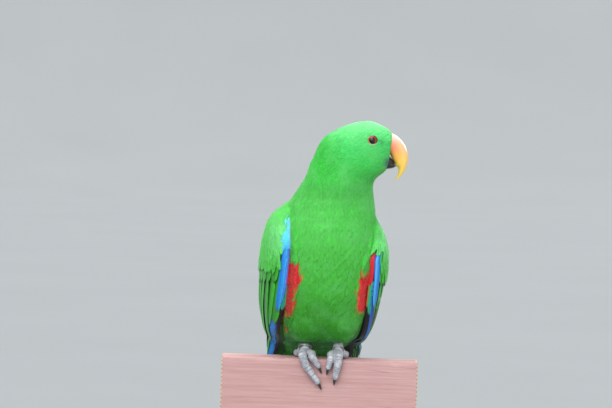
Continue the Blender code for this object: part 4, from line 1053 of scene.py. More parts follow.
def edge_plan(wing):
    """Narrow feathers along one wing's leading edge below its bend: blue and violet primary coverts, the
    red, orange and teal edges of the feathers under them, and dark feathers that close the gap to the body,
    their darkness partly their own colour and partly painted shade of that gap."""
    if wing.which == 0:
        return [
            (62, 1.6, 38, 2.8, 2.2, 0.0, 0.5, 0.2, "25A88C", TEAL, "4CCFC0", BLACK),
            (58, 0.2, 40, 0.8, 0.9, 0.0, 0.5, 0.1, "63C884", TEAL, "D6873C", BLACK),
            (97, 4.0, 37, 6.6, 3.2, 0.6, 1.1, 0.2, "2FA6EE", BLUE, "62C6F6", BLACK),
            (97, 2.4, 44, 4.6, 1.7, 0.7, 1.2, 0.2, "3F8AEC", "1B55B8", "4F98F0", BLACK),
            (96, 1.0, 50, 3.2, 0.9, 0.7, 1.2, 0.2, "6A5ED2", VIOLET, "8A7ADC", BLACK),
            (88, 0.2, 60, 1.0, 1.2, 0.3, 0.8, 0.1, "E0303A", RED, "E8705A", BLACK),
            (76, -0.6, 56, 0.2, 0.8, 0.3, 0.8, 0.1, "8CCB5A", RED, "E8904C", BLACK),
            # Dark feathers that close the gap to the body: their dark colour is partly their own and partly
            # painted shade of that gap
            (24, 1.2, -24, 1.0, 3.2, -1.0, -0.8, 0.1, "1F5C1C", "1A501A", "226A1E", BLACK),
            (24, 3.4, -24, 4.4, 3.0, -0.9, -0.7, 0.1, "1A501A", "174A18", "1F5C1C", BLACK),
            (54, 1.4, -20, 8.4, 2.3, -0.2, 0.0, 0.1, "1A1218", BLACK, "3B2A4A", BLACK),
        ]
    return [
        # Dark feathers that close the gap to the body: their dark colour is partly their own and partly
        # painted shade of that gap
        (58, 3.0, -10, 4.0, 3.4, 0.2, 0.3, 0.2, "15121A", BLACK, "2B2434", BLACK),
        (50, 5.0, -10, 10.0, 3.8, 0.4, 0.5, 0.2, "15121A", BLACK, "2B2434", BLACK),
        (58, 3.8, 5, 8.6, 2.3, 0.7, 0.9, 0.2, "1F62C8", "17479C", "3F8AEC", BLACK),
        (26, 6.2, -10, 25.0, 1.1, 0.9, 1.0, 0.2, "2E86E0", "1F6FD0", "4FC0A0", BLACK),
        (66, 3.4, 36, 3.2, 2.4, 0.5, 0.9, 0.1, "25A88C", TEAL, "49B95A", BLACK),
        (64, 1.0, 42, 0.8, 1.0, 0.5, 0.9, 0.1, "D0683A", "3FAF4E", "D6873C", BLACK),
        (96, 6.8, 42, 7.2, 3.0, 0.8, 1.2, 0.2, "45A8EE", BLUE, "6CC4F6", BLACK),
        (94, 4.6, 46, 5.4, 1.1, 0.9, 1.2, 0.2, "2A62D2", VIOLET, "3C6FDC", BLACK),
        (90, 2.6, 62, 1.6, 1.9, 0.6, 1.0, 0.1, "D82430", RED, "C22A2E", BLACK),
        (88, -0.2, 60, -1.0, 2.0, 0.6, 0.9, 0.1, "D82430", RED, "E0404A", BLACK),
    ]


def wing_lining(wing, finish, name):
    """A thin sheet under one wing's coverts: the shell's upper rows without their rims sunk a little,
    closed by the same rows sunk further."""
    keep = (wing.heights > 44) & (wing.heights < wing.heights[-1] - 6)
    inset = slice(4, -6)
    middle = wing.shell[keep][:, inset]
    normal = wing.normals[keep][:, inset]
    rows, columns = middle.shape[:2]
    layers = [middle - normal * depth for depth in (1.6, 2.3)]
    points = np.concatenate([layer.reshape(-1, 3) for layer in layers])
    quads = grid_faces(rows, columns)
    grid = np.arange(rows * columns).reshape(rows, columns)
    rim = np.concatenate([grid[0], grid[1:, -1], grid[-1, -2::-1], grid[-2:0:-1, 0]])
    after = np.roll(rim, -1)
    wall = np.stack([after, rim, rim + rows * columns, after + rows * columns], axis=1)
    faces = np.concatenate([quads, quads[:, ::-1] + rows * columns, wall])
    if wing.side < 0:
        faces = faces[:, ::-1]
    dye = np.broadcast_to(hex_colour("1E5A22"), points.shape)
    across, along = np.meshgrid(np.linspace(0, 1, columns), np.linspace(0, 1, rows))
    where = np.stack([across, along], axis=-1).reshape(-1, 2) * (0.48, 0.98) + (0.01, 0.01)
    where = np.concatenate([where, where + (0.5, 0.0)])
    shape = (points, [faces], {"OFBake": where, "vane": where}, {"dye": dye})
    make_piece(name, shape, finish)


def make_lesser_coverts(wing, finish, name, rng):
    """The small feathers of one wing's upper part, which run on from the body's coat: strewn over the wing's
    surface, green, brightened a little and paler on the shoulder as a painted highlight, with finer cyan
    ones in a band behind the leading edge, edged with lilac in front."""
    top = SIDE_TOP[wing.which]
    low = 82.0 if wing.which == 0 else 76.0
    draws = scatter(COVERT_DRAWS, 0.47)
    z = low + (top + 2.0 - low) * draws[:, 0]
    widest = wing.widths.max()
    inward = draws[:, 1] * (widest + 2.0) - 1.0
    share = (top + 2.0 - low) * (widest + 2.0) / len(draws)
    size = 1.7 + 1.2 * ease(top - z, 12, 50)
    if wing.which == 0:
        start, wide, highest, bare = -2.0, 2.6 + 5.4 * ease(122.0 - z, 0.0, 24.0), 122.0, 9.5
    else:
        start, wide, highest, bare = 5.4, 11.4, 97.0, 12.5
    in_band = (inward > start) & (inward < wide + 0.6) & (z < highest)
    size = np.where(in_band, 1.15, size)
    clear = (z > 95.0) | (inward > bare)
    kept = clear & (inward < wing.width(z) - 0.5) & (draws[:, 2] < 1.35 * share / size**2)
    z, inward, draws, size, in_band = z[kept], inward[kept], draws[kept], size[kept], in_band[kept]
    z = z + rng.normal(0, 0.35, len(z)) * size
    inward = inward + rng.normal(0, 0.35, len(z)) * size
    reach, across, rise, length = tuft_shapes(size, rng)
    lean = rng.normal(0, 0.12, (len(z), 1, 1))
    down = z[:, None, None] - reach + lean * across
    inner = inward[:, None, None] + across + lean * reach
    stand = 1.7 * ease(top - down, 0.0, 14.0) - 0.3
    top_points = wing.points(down, inner, rise + stand)
    at = wing.points(z - 0.7 * length, inward, 0 * z)
    crosswise = top_points[:, 2, -1] - top_points[:, 2, 0]
    lengthwise = top_points[:, 1, 2] - top_points[:, 3, 2]
    away = unit(np.cross(crosswise, lengthwise))
    # Painted highlight: the greens are brightened a little, and turned paler on the shoulder, where the
    # light catches the wing
    bright = greens(at) * 1.04
    pale = 0.3 * ease(z, 84.0, 100.0) * (1 - ease(z, 112.0, 124.0))
    pale = pale * (1 - ease(np.abs(inward - 12.0), 5.0, 14.0))
    tint = blend(hex_colour("5AD6EE"), "3FAEEA", (1 - ease(z, 92.0, 108.0)) * 0.8)
    if wing.which == 0:
        tint = blend(tint, "A99BE0", (1 - ease(inward, 0.4, 1.6)) * 0.8)
    dye = np.where(in_band[:, None], tint, blend(bright, "8EE6A4", pale))
    if wing.side > 0:
        top_points = top_points[:, :, ::-1]
    else:
        away = -away
    maps = np.stack([0.01 + 0.98 * draws[:, 1], 0.01 + 0.98 * draws[:, 0]], axis=1)
    make_piece(name, closed_tufts(top_points, away, size, maps, dye, rng), finish)


def quill_finish():
    """Wing and tail feathers: firm dyed vanes with slanted barbs either side of a dark shaft, which gives
    the eye a fine satin rib. Barbs are 0.4 mm apart in life, and are drawn 0.9 mm apart so that they
    show. The vane map runs across each feather from 0 to 1, and along it in centimetres."""
    finish, shader, place = new_finish("flight_feather_vanes", 0.46)
    vane = add(finish, "UVMap", uv_map="vane")
    across = add(finish, "SeparateXYZ", {0: vane}, "X")
    along = add(finish, "SeparateXYZ", {0: vane}, "Y")
    offset = add(finish, "Math", {0: across, 1: 0.47}, operation="SUBTRACT")
    side = add(finish, "Math", {0: offset}, operation="ABSOLUTE")
    slant = add(finish, "Math", {0: side, 1: -70.0}, operation="MULTIPLY")
    turn = add(finish, "Math", {0: along, 1: 70.0, 2: slant}, operation="MULTIPLY_ADD")
    rib = add(finish, "Math", {0: turn}, operation="SINE")
    long_place = add(finish, "Mapping", {"Vector": place, "Scale": (1.0, 1.0, 0.25)})
    streak = add(finish, "TexNoise", {"Vector": long_place, "Scale": 800.0, "Detail": 3.0})
    shade = add(finish, "MapRange", {0: rib, 1: -1.0, 2: 1.0, 3: 0.94, 4: 1.04})
    worn = add(finish, "MapRange", {0: streak, 1: 0.3, 2: 0.7, 3: 0.82, 4: 1.1})
    both = add(finish, "Math", {0: shade, 1: worn}, operation="MULTIPLY")
    dye = add(finish, "Attribute", out="Color", attribute_name="dye")
    colour = add(finish, "Mix", {0: 1.0, 6: dye, 7: both}, 2, data_type="RGBA", blend_type="MULTIPLY")
    shaft = add(finish, "MapRange", {0: side, 1: 0.012, 2: 0.03, 3: 0.6, 4: 0.0})
    colour = add(finish, "Mix", {0: shaft, 6: colour, 7: "101A12"}, 2, data_type="RGBA")
    bump = add(finish, "Bump", {"Strength": 0.3, "Distance": 0.00015, "Height": both})
    looks = {
        "Base Color": colour,
        "Normal": bump,
        "Sheen Weight": 0.2,
        "Sheen Roughness": 0.35,
        "Sheen Tint": (0.5, 1.0, 0.6, 1.0),
        "Specular IOR Level": 0.35,
    }
    return dress(finish, shader, looks)


def make_wings(finish, soft_finish):
    """Both folded wings: a dark lining, each tier of large feathers as one piece, and the small
    coverts."""
    rng = np.random.default_rng(11)
    for which, name in enumerate(("wing_right", "wing_left")):
        wing = Wing(which)
        wing_lining(wing, finish, name + "_lining")
        primaries, secondaries, greater, median = main_plans(wing)
        tiers = (
            ("primaries", primaries, 22, "flight"),
            ("secondaries", secondaries, 18, "broad"),
            ("greater_coverts", greater, 11, "broad"),
            ("median_coverts", median, 10, "broad"),
            ("edge", edge_plan(wing), 12, "broad"),
        )
        for tier, plan, rows, kind in tiers:
            replaces = (name,) if tier == "secondaries" else ()
            shape = wing_vanes(wing, plan, rows, kind, rng)
            make_piece(f"{name}_{tier}", shape, finish, replaces)
        make_lesser_coverts(wing, soft_finish, name + "_lesser_coverts", rng)


def make_tail(finish):
    """Twelve tail feathers, the middle pair on top, each straight along its heading with its edges lower
    than its shaft, over a tapering root."""
    middle, forward, side, shape = BODY_FRAMES[0]
    direction = turned((0.0, *TAIL_DIRECTION), BODY_YAW)
    across = side
    out = np.cross(across, direction)
    out = out if out[1] > 0 else -out
    number = np.arange(TAIL_FEATHERS)
    pair, sign = number // 2, np.where(number % 2, 1, -1)
    share = (pair + 0.5) / (TAIL_FEATHERS / 2)
    fan = np.radians(TAIL_FAN * share) * sign
    height = 3.4 - 1.15 * pair + np.where(sign > 0, 0.35, 0.0)
    length = TAIL_LENGTH * (1.0 - 0.16 * share**2)
    start = middle - direction * 6.0 + across * (sign * 9.5 * share)[:, None] + out * height[:, None]
    heading = direction * np.cos(fan)[:, None] + across * np.sin(fan)[:, None]
    beside = -direction * np.sin(fan)[:, None] + across * np.cos(fan)[:, None]
    rows = 20
    along = (np.linspace(0, 1, rows) ** 0.85)[None, :, None]
    s = VANE_ACROSS[None, None, :] * np.where(sign > 0, -1, 1)[:, None, None]
    web = np.where(VANE_ACROSS[None, None, :] < 0, 0.8, 1.0)
    wide = vane_width(along, "broad") * TAIL_HALF_WIDTH
    lengths = (length + 9.0)[:, None, None]
    reach = along * lengths + 0 * s
    reach = reach - 2.2 * ease(along, 0.75, 1.0) * s**2
    drop = 1.6 * share[:, None, None] * along**2 + 0.9 * s**2 * web
    parts = (
        (reach, heading),
        (-s * web * wide, beside * np.ones_like(heading)),
        (-drop, np.broadcast_to(out, heading.shape)),
    )
    top = start[:, None, None, :] + sum(a[..., None] * d[:, None, None, :] for a, d in parts)
    turn = np.cross(np.gradient(top, axis=2), np.gradient(top, axis=1))
    flip = np.einsum("nrck,k->n", turn, out) < 0
    edge = (1 - ease(VANE_ACROSS, -0.95, -0.35))[None, None, :, None]
    tip = ease(along, 0.93, 0.985)[..., None]
    green, blue, dark, yellow = (hex_colour(c) for c in ("239238", "1D6FA8", "17502A", "CFC850"))
    inner = ease(VANE_ACROSS, 0.2, 0.9)[None, None, :, None]
    dye = green * (1 - inner) + dark * inner
    dye = dye * (1 - edge) + blue * edge
    dye = dye * (1 - tip) + yellow * tip
    dye = np.broadcast_to(dye, top.shape).copy()
    top[flip], dye[flip] = top[flip][:, :, ::-1], dye[flip][:, :, ::-1]
    under = np.broadcast_to(hex_colour("1A1D1B"), (TAIL_FEATHERS, 3))
    shape = closed_vanes(top, VANE_THICKNESS, dye, under)
    make_piece("tail_feathers", shape, finish, ("tail",))


def horn_rings(top, low, half, sides, squareness):
    """Rings of a bill between an upper and a lower line of points (x, z): superellipses whose upright
    axis joins the two lines, with a half width each."""
    angles = turns(sides)
    power = 2 / squareness
    up = np.sign(np.cos(angles)) * np.abs(np.cos(angles)) ** power
    out = np.sign(np.sin(angles)) * np.abs(np.sin(angles)) ** power
    middle, reach = ((top + low) / 2)[:, None, :], ((top - low) / 2)[:, None, :]
    flat = middle + reach * up[None, :, None]
    y = HEAD_MIDDLE_Y + half[:, None] * out[None, :]
    return np.stack([flat[..., 0], y, flat[..., 1]], axis=-1)


def bill_finish():
    """Living horn, worn smooth: coral at its base, orange and then yellow to the tip, paler along the ridge,
    where the whitish pink near the base is a painted highlight, with faint growth lines and a clear polish.
    Colours follow the angle and the distance from the middle of the ridge's arc."""
    finish, shader, place = new_finish("polished_bill_horn", 0.3)
    radius, angle = polar(finish, place, CULMEN_CENTRE)
    first, last = (math.radians(a) for a in CULMEN_ANGLES)
    cloud = add(finish, "TexNoise", {"Vector": place, "Scale": 260.0, "Detail": 3.0})
    drift = add(finish, "MapRange", {0: cloud, 3: -0.06, 4: 0.06})
    share = add(finish, "MapRange", {0: angle, 1: first, 2: last, 3: 0.0, 4: 1.0})
    along = add(finish, "Math", {0: share, 1: drift}, operation="ADD")
    coral = ((0.0, "F29A80"), (0.2, "F98C66"), (0.42, "FFB05C"))
    yellow = ((0.62, "FFCC54"), (0.85, "FFD856"), (1.0, "F8DA70"))
    # Painted highlight: the ridge's paler colours, whitish pink near the base, stand in for the light on the
    # ridge
    ridge_highlight_stops = ((0.0, "FAE0D0"), (0.25, "FBC8A4"), (0.5, "FFCC66"), (1.0, "FFD65A"))
    body = add(finish, "ValToRGB", {0: along}, stops=(*coral, *yellow))
    pale = add(finish, "ValToRGB", {0: along}, stops=ridge_highlight_stops)
    ridge = add(finish, "MapRange", {0: radius, 1: 16.0 * MM, 2: 23.0 * MM, 3: 0.0, 4: 0.85})
    colour = add(finish, "Mix", {0: ridge, 6: body, 7: pale}, 2, data_type="RGBA")
    links = {"Vector": place, "Scale": 420.0, "Distortion": 6.0, "Detail": 2.0}
    lines = add(finish, "TexWave", links, 1, bands_direction="Z")
    faint = add(finish, "Math", {0: lines, 1: 0.06}, operation="MULTIPLY")
    colour = add(finish, "Mix", {0: faint, 6: colour, 7: "B5652E"}, 2, data_type="RGBA")
    bump = add(finish, "Bump", {"Strength": 0.15, "Distance": 0.0002, "Height": cloud})
    looks = {
        "Base Color": colour,
        "Coat Weight": 0.25,
        "Coat Roughness": 0.18,
        "Normal": bump,
    }
    return dress(finish, shader, looks)


def dark_horn(name, colour, pale):
    """Dark horn of claws and the lower bill: near black, browner where it thins, with a soft polish."""
    finish, shader, place = new_finish(name, 0.32)
    cloud = add(finish, "TexNoise", {"Vector": place, "Scale": 500.0, "Detail": 4.0})
    share = add(finish, "Math", {0: cloud, 1: 0.7}, operation="MULTIPLY")
    shades = add(finish, "Mix", {0: share, 6: colour, 7: pale}, 2, data_type="RGBA")
    grain = add(finish, "TexNoise", {"Vector": place, "Scale": 1600.0, "Detail": 3.0})
    bump = add(finish, "Bump", {"Strength": 0.25, "Distance": 0.0001, "Height": grain})
    return dress(finish, shader, {"Base Color": shades, "Normal": bump})


def make_bill(upper_finish, lower_finish):
    """Upper bill, with its root inside the face, a ridge, and a tooth in its cutting edge, and lower
    bill."""
    count, sides = 68, 56
    steps = np.linspace(-0.12, 1, count)
    turns = np.radians(CULMEN_ANGLES[0] + (CULMEN_ANGLES[1] - CULMEN_ANGLES[0]) * steps)
    top = np.stack([np.cos(turns), np.sin(turns)], axis=1) * CULMEN_RADIUS + CULMEN_CENTRE
    low = rows_at(CUTTING_EDGE, np.clip(steps, 0, 1) * 5)
    low[:, 0] += 34.0 * np.minimum(steps, 0.0)
    tooth = 0.9 * np.exp(-(((steps - 0.42) / 0.07) ** 2)) - 0.5 * np.exp(-(((steps - 0.58) / 0.08) ** 2))
    low = low + unit(low - top) * tooth[:, None]
    half = rows_at(np.array(UPPER_HALF_WIDTHS)[:, None], np.clip(steps, 0, 1) * 5)[:, 0]
    half = half * (1 - 0.05 * np.exp(-(((steps - 0.12) / 0.06) ** 2)))
    rings = horn_rings(top, low, half, sides, 2.2)
    rings[..., 0] += GAP
    tip = (top[-1] + low[-1]) / 2
    shape = closed_rings(rings, rings[0].mean(axis=0), (tip[0] + GAP, HEAD_MIDDLE_Y, tip[1] - 0.9))
    make_piece("bill_upper", outward(*shape), upper_finish, ("beak_upper",))
    count, sides = 24, 40
    steps = np.linspace(0, 1, count) ** 0.8
    top, low = rows_at(LOWER_TOP, steps * 2), rows_at(LOWER_KEEL, steps * 2)
    half = rows_at(np.array(LOWER_HALF_WIDTHS)[:, None], steps * 2)[:, 0]
    rings = horn_rings(top, low, half, sides, 2.3)
    shape = closed_rings(rings, rings[0].mean(axis=0), rings[-1].mean(axis=0) + (0.5, 0, 0))
    make_piece("bill_lower", outward(*shape), lower_finish, ("beak_lower",))


def make_mouth(finish):
    """Dark skin in the corner of the mouth: a tapering round bar between the two halves of the bill."""
    count, sides = 12, 28
    steps = np.linspace(0, 1, count)
    top = rows_at(((49.6, 178.5), (56.4, 173.0), (59.8, 168.4)), steps * 2)
    low = rows_at(((49.4, 167.0), (55.6, 167.4), (58.8, 166.4)), steps * 2)
    half = 8.2 - 5.6 * steps**1.4
    rings = horn_rings(top, low, half, sides, 2.2)
    shape = closed_rings(rings, rings[0].mean(axis=0), rings[-1].mean(axis=0))
    make_piece("mouth_corner", outward(*shape), finish)


def eye_finish():
    """A wet eye: black pupil, orange-red iris with fine spokes and a dark rim, under a clear polish.
    Colours follow the distance from the eye's middle, seen from its side."""
    finish, shader, place = new_finish("wet_eye", 0.08)
    radius, turn = polar(finish, place, EYE_PLACE)
    ring_place = add(finish, "CombineXYZ", {0: turn, 1: radius})
    fibres = add(finish, "TexNoise", {"Vector": ring_place, "Scale": 9.0, "Detail": 2.0})
    iris = add(finish, "ValToRGB", {0: fibres}, stops=((0.3, "6E1508"), (0.55, "A82A12"), (0.75, "C8481C")))
    share = add(finish, "MapRange", {0: radius, 1: 0.0, 2: 5.0 * MM, 3: 0.0, 4: 1.0})
    inner, outer = PUPIL_RADIUS / 5, IRIS_RADIUS / 5
    rings = ((inner - 0.015, 0.0), (inner + 0.03, 1.0), (outer - 0.03, 1.0), (outer + 0.03, 0.3))
    mask = add(finish, "ValToRGB", {0: share}, stops=rings)
    colour = add(finish, "Mix", {0: mask, 6: "060303", 7: iris}, 2, data_type="RGBA")
    looks = {
        "Base Color": colour,
        "Specular IOR Level": 0.2,
        "Coat Weight": 0.6,
        "Coat Roughness": 0.02,
    }
    return dress(finish, shader, looks)


def lid_finish():
    """Bare lid skin: fine, dry and slightly creased, with painted shade in its creases, reddish above and
    pale grey below.
    """
    finish, shader, place = new_finish("bare_lid_skin", 0.6)
    cloud = add(finish, "TexNoise", {"Vector": place, "Scale": 1500.0, "Detail": 3.0})
    height = add(finish, "SeparateXYZ", {0: place}, "Z")
    middle = (EYE_PLACE[1] + PERCH[2]) * MM
    low = add(finish, "MapRange", {0: height, 1: middle - 1.5 * MM, 2: middle - 3.5 * MM, 3: 0.0, 4: 1.0})
    colour = add(finish, "Mix", {0: low, 6: "BE5A42", 7: "CDB8AC"}, 2, data_type="RGBA")
    # Painted shade: darker brown patches stand in for shade in the lid's creases
    crease_shade = add(finish, "MapRange", {0: cloud, 1: 0.4, 2: 0.7, 3: 0.0, 4: 0.4})
    colour = add(finish, "Mix", {0: crease_shade, 6: colour, 7: "5E3A34"}, 2, data_type="RGBA")
    bump = add(finish, "Bump", {"Strength": 0.5, "Distance": 0.0001, "Height": cloud})
    return dress(finish, shader, {"Base Color": colour, "Normal": bump})


def make_eyes(ball_finish, rim_finish):
    """Eyeballs, as spheres with a slight bulge over the iris, and a creased lid ring laid on the head
    round each."""
    for name, sign in (("eye_right", -1), ("eye_left", 1)):
        spot = np.array([[EYE_PLACE[0], HEAD_MIDDLE_Y + sign * 19.0, EYE_PLACE[1]]])
        for _ in range(6):
            distance, _away = near_form(spot)
            spot[:, 1] -= sign * distance * 0.9
        centre = spot[0] - (0, sign * EYE_DEPTH, 0)
        count, sides = 40, 48
        lean = np.linspace(0.04, math.pi - 0.04, count)[:, None]
        turn = turns(sides)[None, :]
        radius = EYE_RADIUS * (1 + 0.035 * np.exp(-((lean / 0.55) ** 2)))
        flat = radius * np.sin(lean)
        height = sign * radius * np.cos(lean) + 0 * turn
        rings = np.stack([flat * np.cos(turn), height, flat * np.sin(turn)], axis=-1)
        poles = [centre + (0, sign * EYE_RADIUS * 1.035, 0), centre - (0, sign * EYE_RADIUS, 0)]
        ball = outward(*closed_rings(rings + centre, *poles))
        make_piece(name + "_ball", ball, ball_finish, (name,))
        around, across = 96, 12
        turn = turns(around)
        reach = 3.8 + 0.1 * np.cos(2 * turn)
        ring = np.stack([reach * np.cos(turn), np.zeros(around), reach * np.sin(turn)], axis=-1) + spot[0]
        ring = lay_on_form(ring, np.full(around, -0.1))
        away = near_form(ring)[1]
        out = unit(ring - spot[0])
        lean = turns(across)
        thick = 0.36 * (1 + 0.10 * np.cos(30 * turn))[:, None, None]
        tube = out[:, None, :] * np.cos(lean)[None, :, None]
        tube = tube + away[:, None, :] * np.sin(lean)[None, :, None] * 1.1
        points = (ring[:, None, :] + thick * tube).reshape(-1, 3)
        lid = outward(points, torus_faces(around, across))
        make_piece(name + "_lid", lid, rim_finish)


def toe_plans(foot):
    """Joint places, radii and claw tip of each toe, for the right foot (0) or the left foot (1)."""
    palm = PALMS[foot]
    mirror = -1 if foot == 0 else 1
    plans = []
    for (x_start, z_start), (x_end, z_end), radius, claw_length in FRONT_TOES[foot]:
        skin = RAIL_FRONT - radius - GAP
        line = (
            palm,
            (x_start, RAIL_FRONT + 2.2, RAIL_TOP + radius + 0.7),
            (x_start, RAIL_FRONT - radius * 0.86, RAIL_TOP + radius * 0.72),
            (x_start * 0.72 + x_end * 0.28, skin, z_start * 0.6 + z_end * 0.4),
            (x_end, skin + 0.3, z_end),
        )
        lean = (x_end - x_start) / (z_start - z_end)
        tip = (x_end + lean * claw_length * 0.8, RAIL_FRONT - 0.9, z_end - claw_length)
        plans.append((line, (radius * 1.15, radius * 1.06, radius, radius * 0.95, radius * 0.74), tip))
    outer_line = (
        (palm[0] + mirror * 2.4, palm[1] + 2.0, RAIL_TOP + 6.2),
        (palm[0] + mirror * 6.2, palm[1] + 5.2, RAIL_TOP + 3.4),
        (palm[0] + mirror * 6.9, palm[1] + 13.5, RAIL_TOP + 3.2),
        (palm[0] + mirror * 7.4, RAIL_BACK - 5.0, RAIL_TOP + 3.2),
    )
    outer_tip = (palm[0] + mirror * 8.0, RAIL_BACK + 3.6, RAIL_TOP - 3.0)
    plans.append((outer_line, (3.9, 3.1, 2.9, 2.4), outer_tip))
    inner_line = (
        (palm[0] - mirror * 2.0, palm[1] + 1.6, RAIL_TOP + 5.6),
        (palm[0] - mirror * 5.2, palm[1] + 5.6, RAIL_TOP + 3.6),
        (palm[0] - mirror * 6.4, palm[1] + 11.8, RAIL_TOP + 2.9),
    )
    inner_tip = (palm[0] - mirror * 7.2, palm[1] + 20.5, RAIL_TOP + 0.9)
    plans.append((inner_line, (3.6, 3.1, 2.3), inner_tip))
    return plans


def limb(line, radii, sides, steps, knuckles=0.0):
    """Rings of a round limb along a smooth line of joints, with a radius at each and a slight swelling
    there, closed by a rounded end at both ends."""
    line, radii = np.array(line, float), np.array(radii, float)
    places = np.linspace(0, len(line) - 1, steps)
    centres, radius = rows_at(line, places), rows_at(radii[:, None], places)[:, 0]
    radius = radius * (1 + knuckles * np.cos(2 * math.pi * places))
    along = unit(np.gradient(centres, axis=0))
    reference = np.array((1.0, 0.0, 0.0)) if abs(along[steps // 2, 0]) < 0.8 else np.array((0.0, 0.0, 1.0))
    first = unit(reference - along * (along @ reference)[:, None])
    second = np.cross(along, first)
    caps, reach = np.array((0.97, 0.8, 0.5)), np.array([[0.25], [0.6], [0.9]])
    before = centres[:1] - along[:1] * radius[0] * reach[::-1]
    beyond = centres[-1:] + along[-1:] * radius[-1] * reach
    centres = np.concatenate([before, centres, beyond])
    radius = np.concatenate([radius[0] * caps[::-1], radius, radius[-1] * caps])
    first = np.concatenate([first[[0] * 3], first, first[[-1] * 3]])
    second = np.concatenate([second[[0] * 3], second, second[[-1] * 3]])
    turn = turns(sides)
    ring = np.cos(turn)[None, :, None] * first[:, None, :] + np.sin(turn)[None, :, None] * second[:, None, :]
    rings = centres[:, None, :] + ring * radius[:, None, None]
    return closed_rings(rings, centres[0], centres[-1])


def remeshed(parts, voxel, smoothing):
    """The points and quads of several closed shapes joined in one skin by a voxel remesh and smoothed."""
    mesh = bpy.data.meshes.new("parts")
    points, faces, shift = [], [], 0
    for part_points, part_faces in parts:
        points.append(part_points)
        faces += [tuple(int(i) + shift for i in face) for group in part_faces for face in group]
        shift += len(part_points)
    mesh.from_pydata(np.concatenate(points).tolist(), [], faces)
    obj = bpy.data.objects.new("parts", mesh)
    bpy.context.scene.collection.objects.link(obj)
    join_step = obj.modifiers.new("join", "REMESH")
    join_step.mode = "VOXEL"
    join_step.voxel_size = voxel
    ease_step = obj.modifiers.new("ease", "SMOOTH")
    ease_step.factor = 0.5
    ease_step.iterations = smoothing
    made = bpy.data.meshes.new_from_object(obj.evaluated_get(bpy.context.evaluated_depsgraph_get()))
    places = np.empty(len(made.vertices) * 3)
    made.vertices.foreach_get("co", places)
    normals = np.empty(len(made.vertices) * 3)
    made.vertices.foreach_get("normal", normals)
    corners = np.empty(len(made.loops), np.int32)
    made.loops.foreach_get("vertex_index", corners)
    bpy.data.objects.remove(obj)
    bpy.data.meshes.remove(made)
    return places.reshape(-1, 3), normals.reshape(-1, 3), corners.reshape(-1, 4)


def scaled(points, normals, lines):
    """Skin raised into scales: broad plates across the upper side of each toe, one every 1.7 mm along it,
    and fine grains elsewhere. Also how deep in a groove each point lies."""
    samples = []
    for line, _radii, _tip in lines:
        centres = rows_at(np.array(line, float), np.linspace(0, len(line) - 1, 60))
        steps = np.linalg.norm(np.diff(centres, axis=0), axis=1)
        samples.append(np.column_stack([centres, np.concatenate([[0], np.cumsum(steps)])]))
    samples = np.concatenate(samples)
    nearest = np.linalg.norm(points[:, None, :] - samples[None, :, :3], axis=2).argmin(axis=1)
    outwards = unit(points - samples[nearest, :3])
    upper = ease(normals[:, 2] * 0.8 - normals[:, 1] * 0.9, 0.15, 0.6)
    plates = np.abs(np.sin(math.pi * samples[nearest, 3] / 1.7)) ** 0.45
    x, y, z = points[:, 0], points[:, 1], points[:, 2]
    grains = np.abs(np.sin(x * 3.1 + 1.5 * np.sin(z * 2.3)) * np.sin(z * 3.3 + y * 2.9))
    height = plates * upper + (0.35 + 0.65 * grains**0.5) * (1 - upper)
    return points + outwards * ((height - 0.7) * 0.24)[:, None], 1 - height


def foot_finish():
    """Dry scaled foot skin: pale grey plates with darker, warmer grooves between them, darkened more the
    deeper they lie as painted shade.
    """
    finish, shader, place = new_finish("dry_scaled_skin", 0.62)
    groove = add(finish, "Attribute", out="Fac", attribute_name="groove")
    cells = add(finish, "TexVoronoi", {"Vector": place, "Scale": 1100.0}, feature="DISTANCE_TO_EDGE")
    dust = add(finish, "TexNoise", {"Vector": place, "Scale": 300.0, "Detail": 4.0})
    colour = add(finish, "ValToRGB", {0: dust}, stops=((0.3, "989BA4"), (0.55, "BFC2CA"), (0.75, "D8D9DE")))
    lines = add(finish, "MapRange", {0: cells, 1: 0.0, 2: 0.2, 3: 0.5, 4: 0.0})
    colour = add(finish, "Mix", {0: lines, 6: colour, 7: "5C5A60"}, 2, data_type="RGBA")
    # Painted shade: the deeper a point lies in a groove, the darker it is
    deep = add(finish, "MapRange", {0: groove, 1: 0.1, 2: 0.9, 3: 0.0, 4: 0.75})
    colour = add(finish, "Mix", {0: deep, 6: colour, 7: "4A4549"}, 2, data_type="RGBA")
    bump = add(finish, "Bump", {"Strength": 0.5, "Distance": 0.0002, "Height": cells})
    return dress(finish, shader, {"Base Color": colour, "Normal": bump})


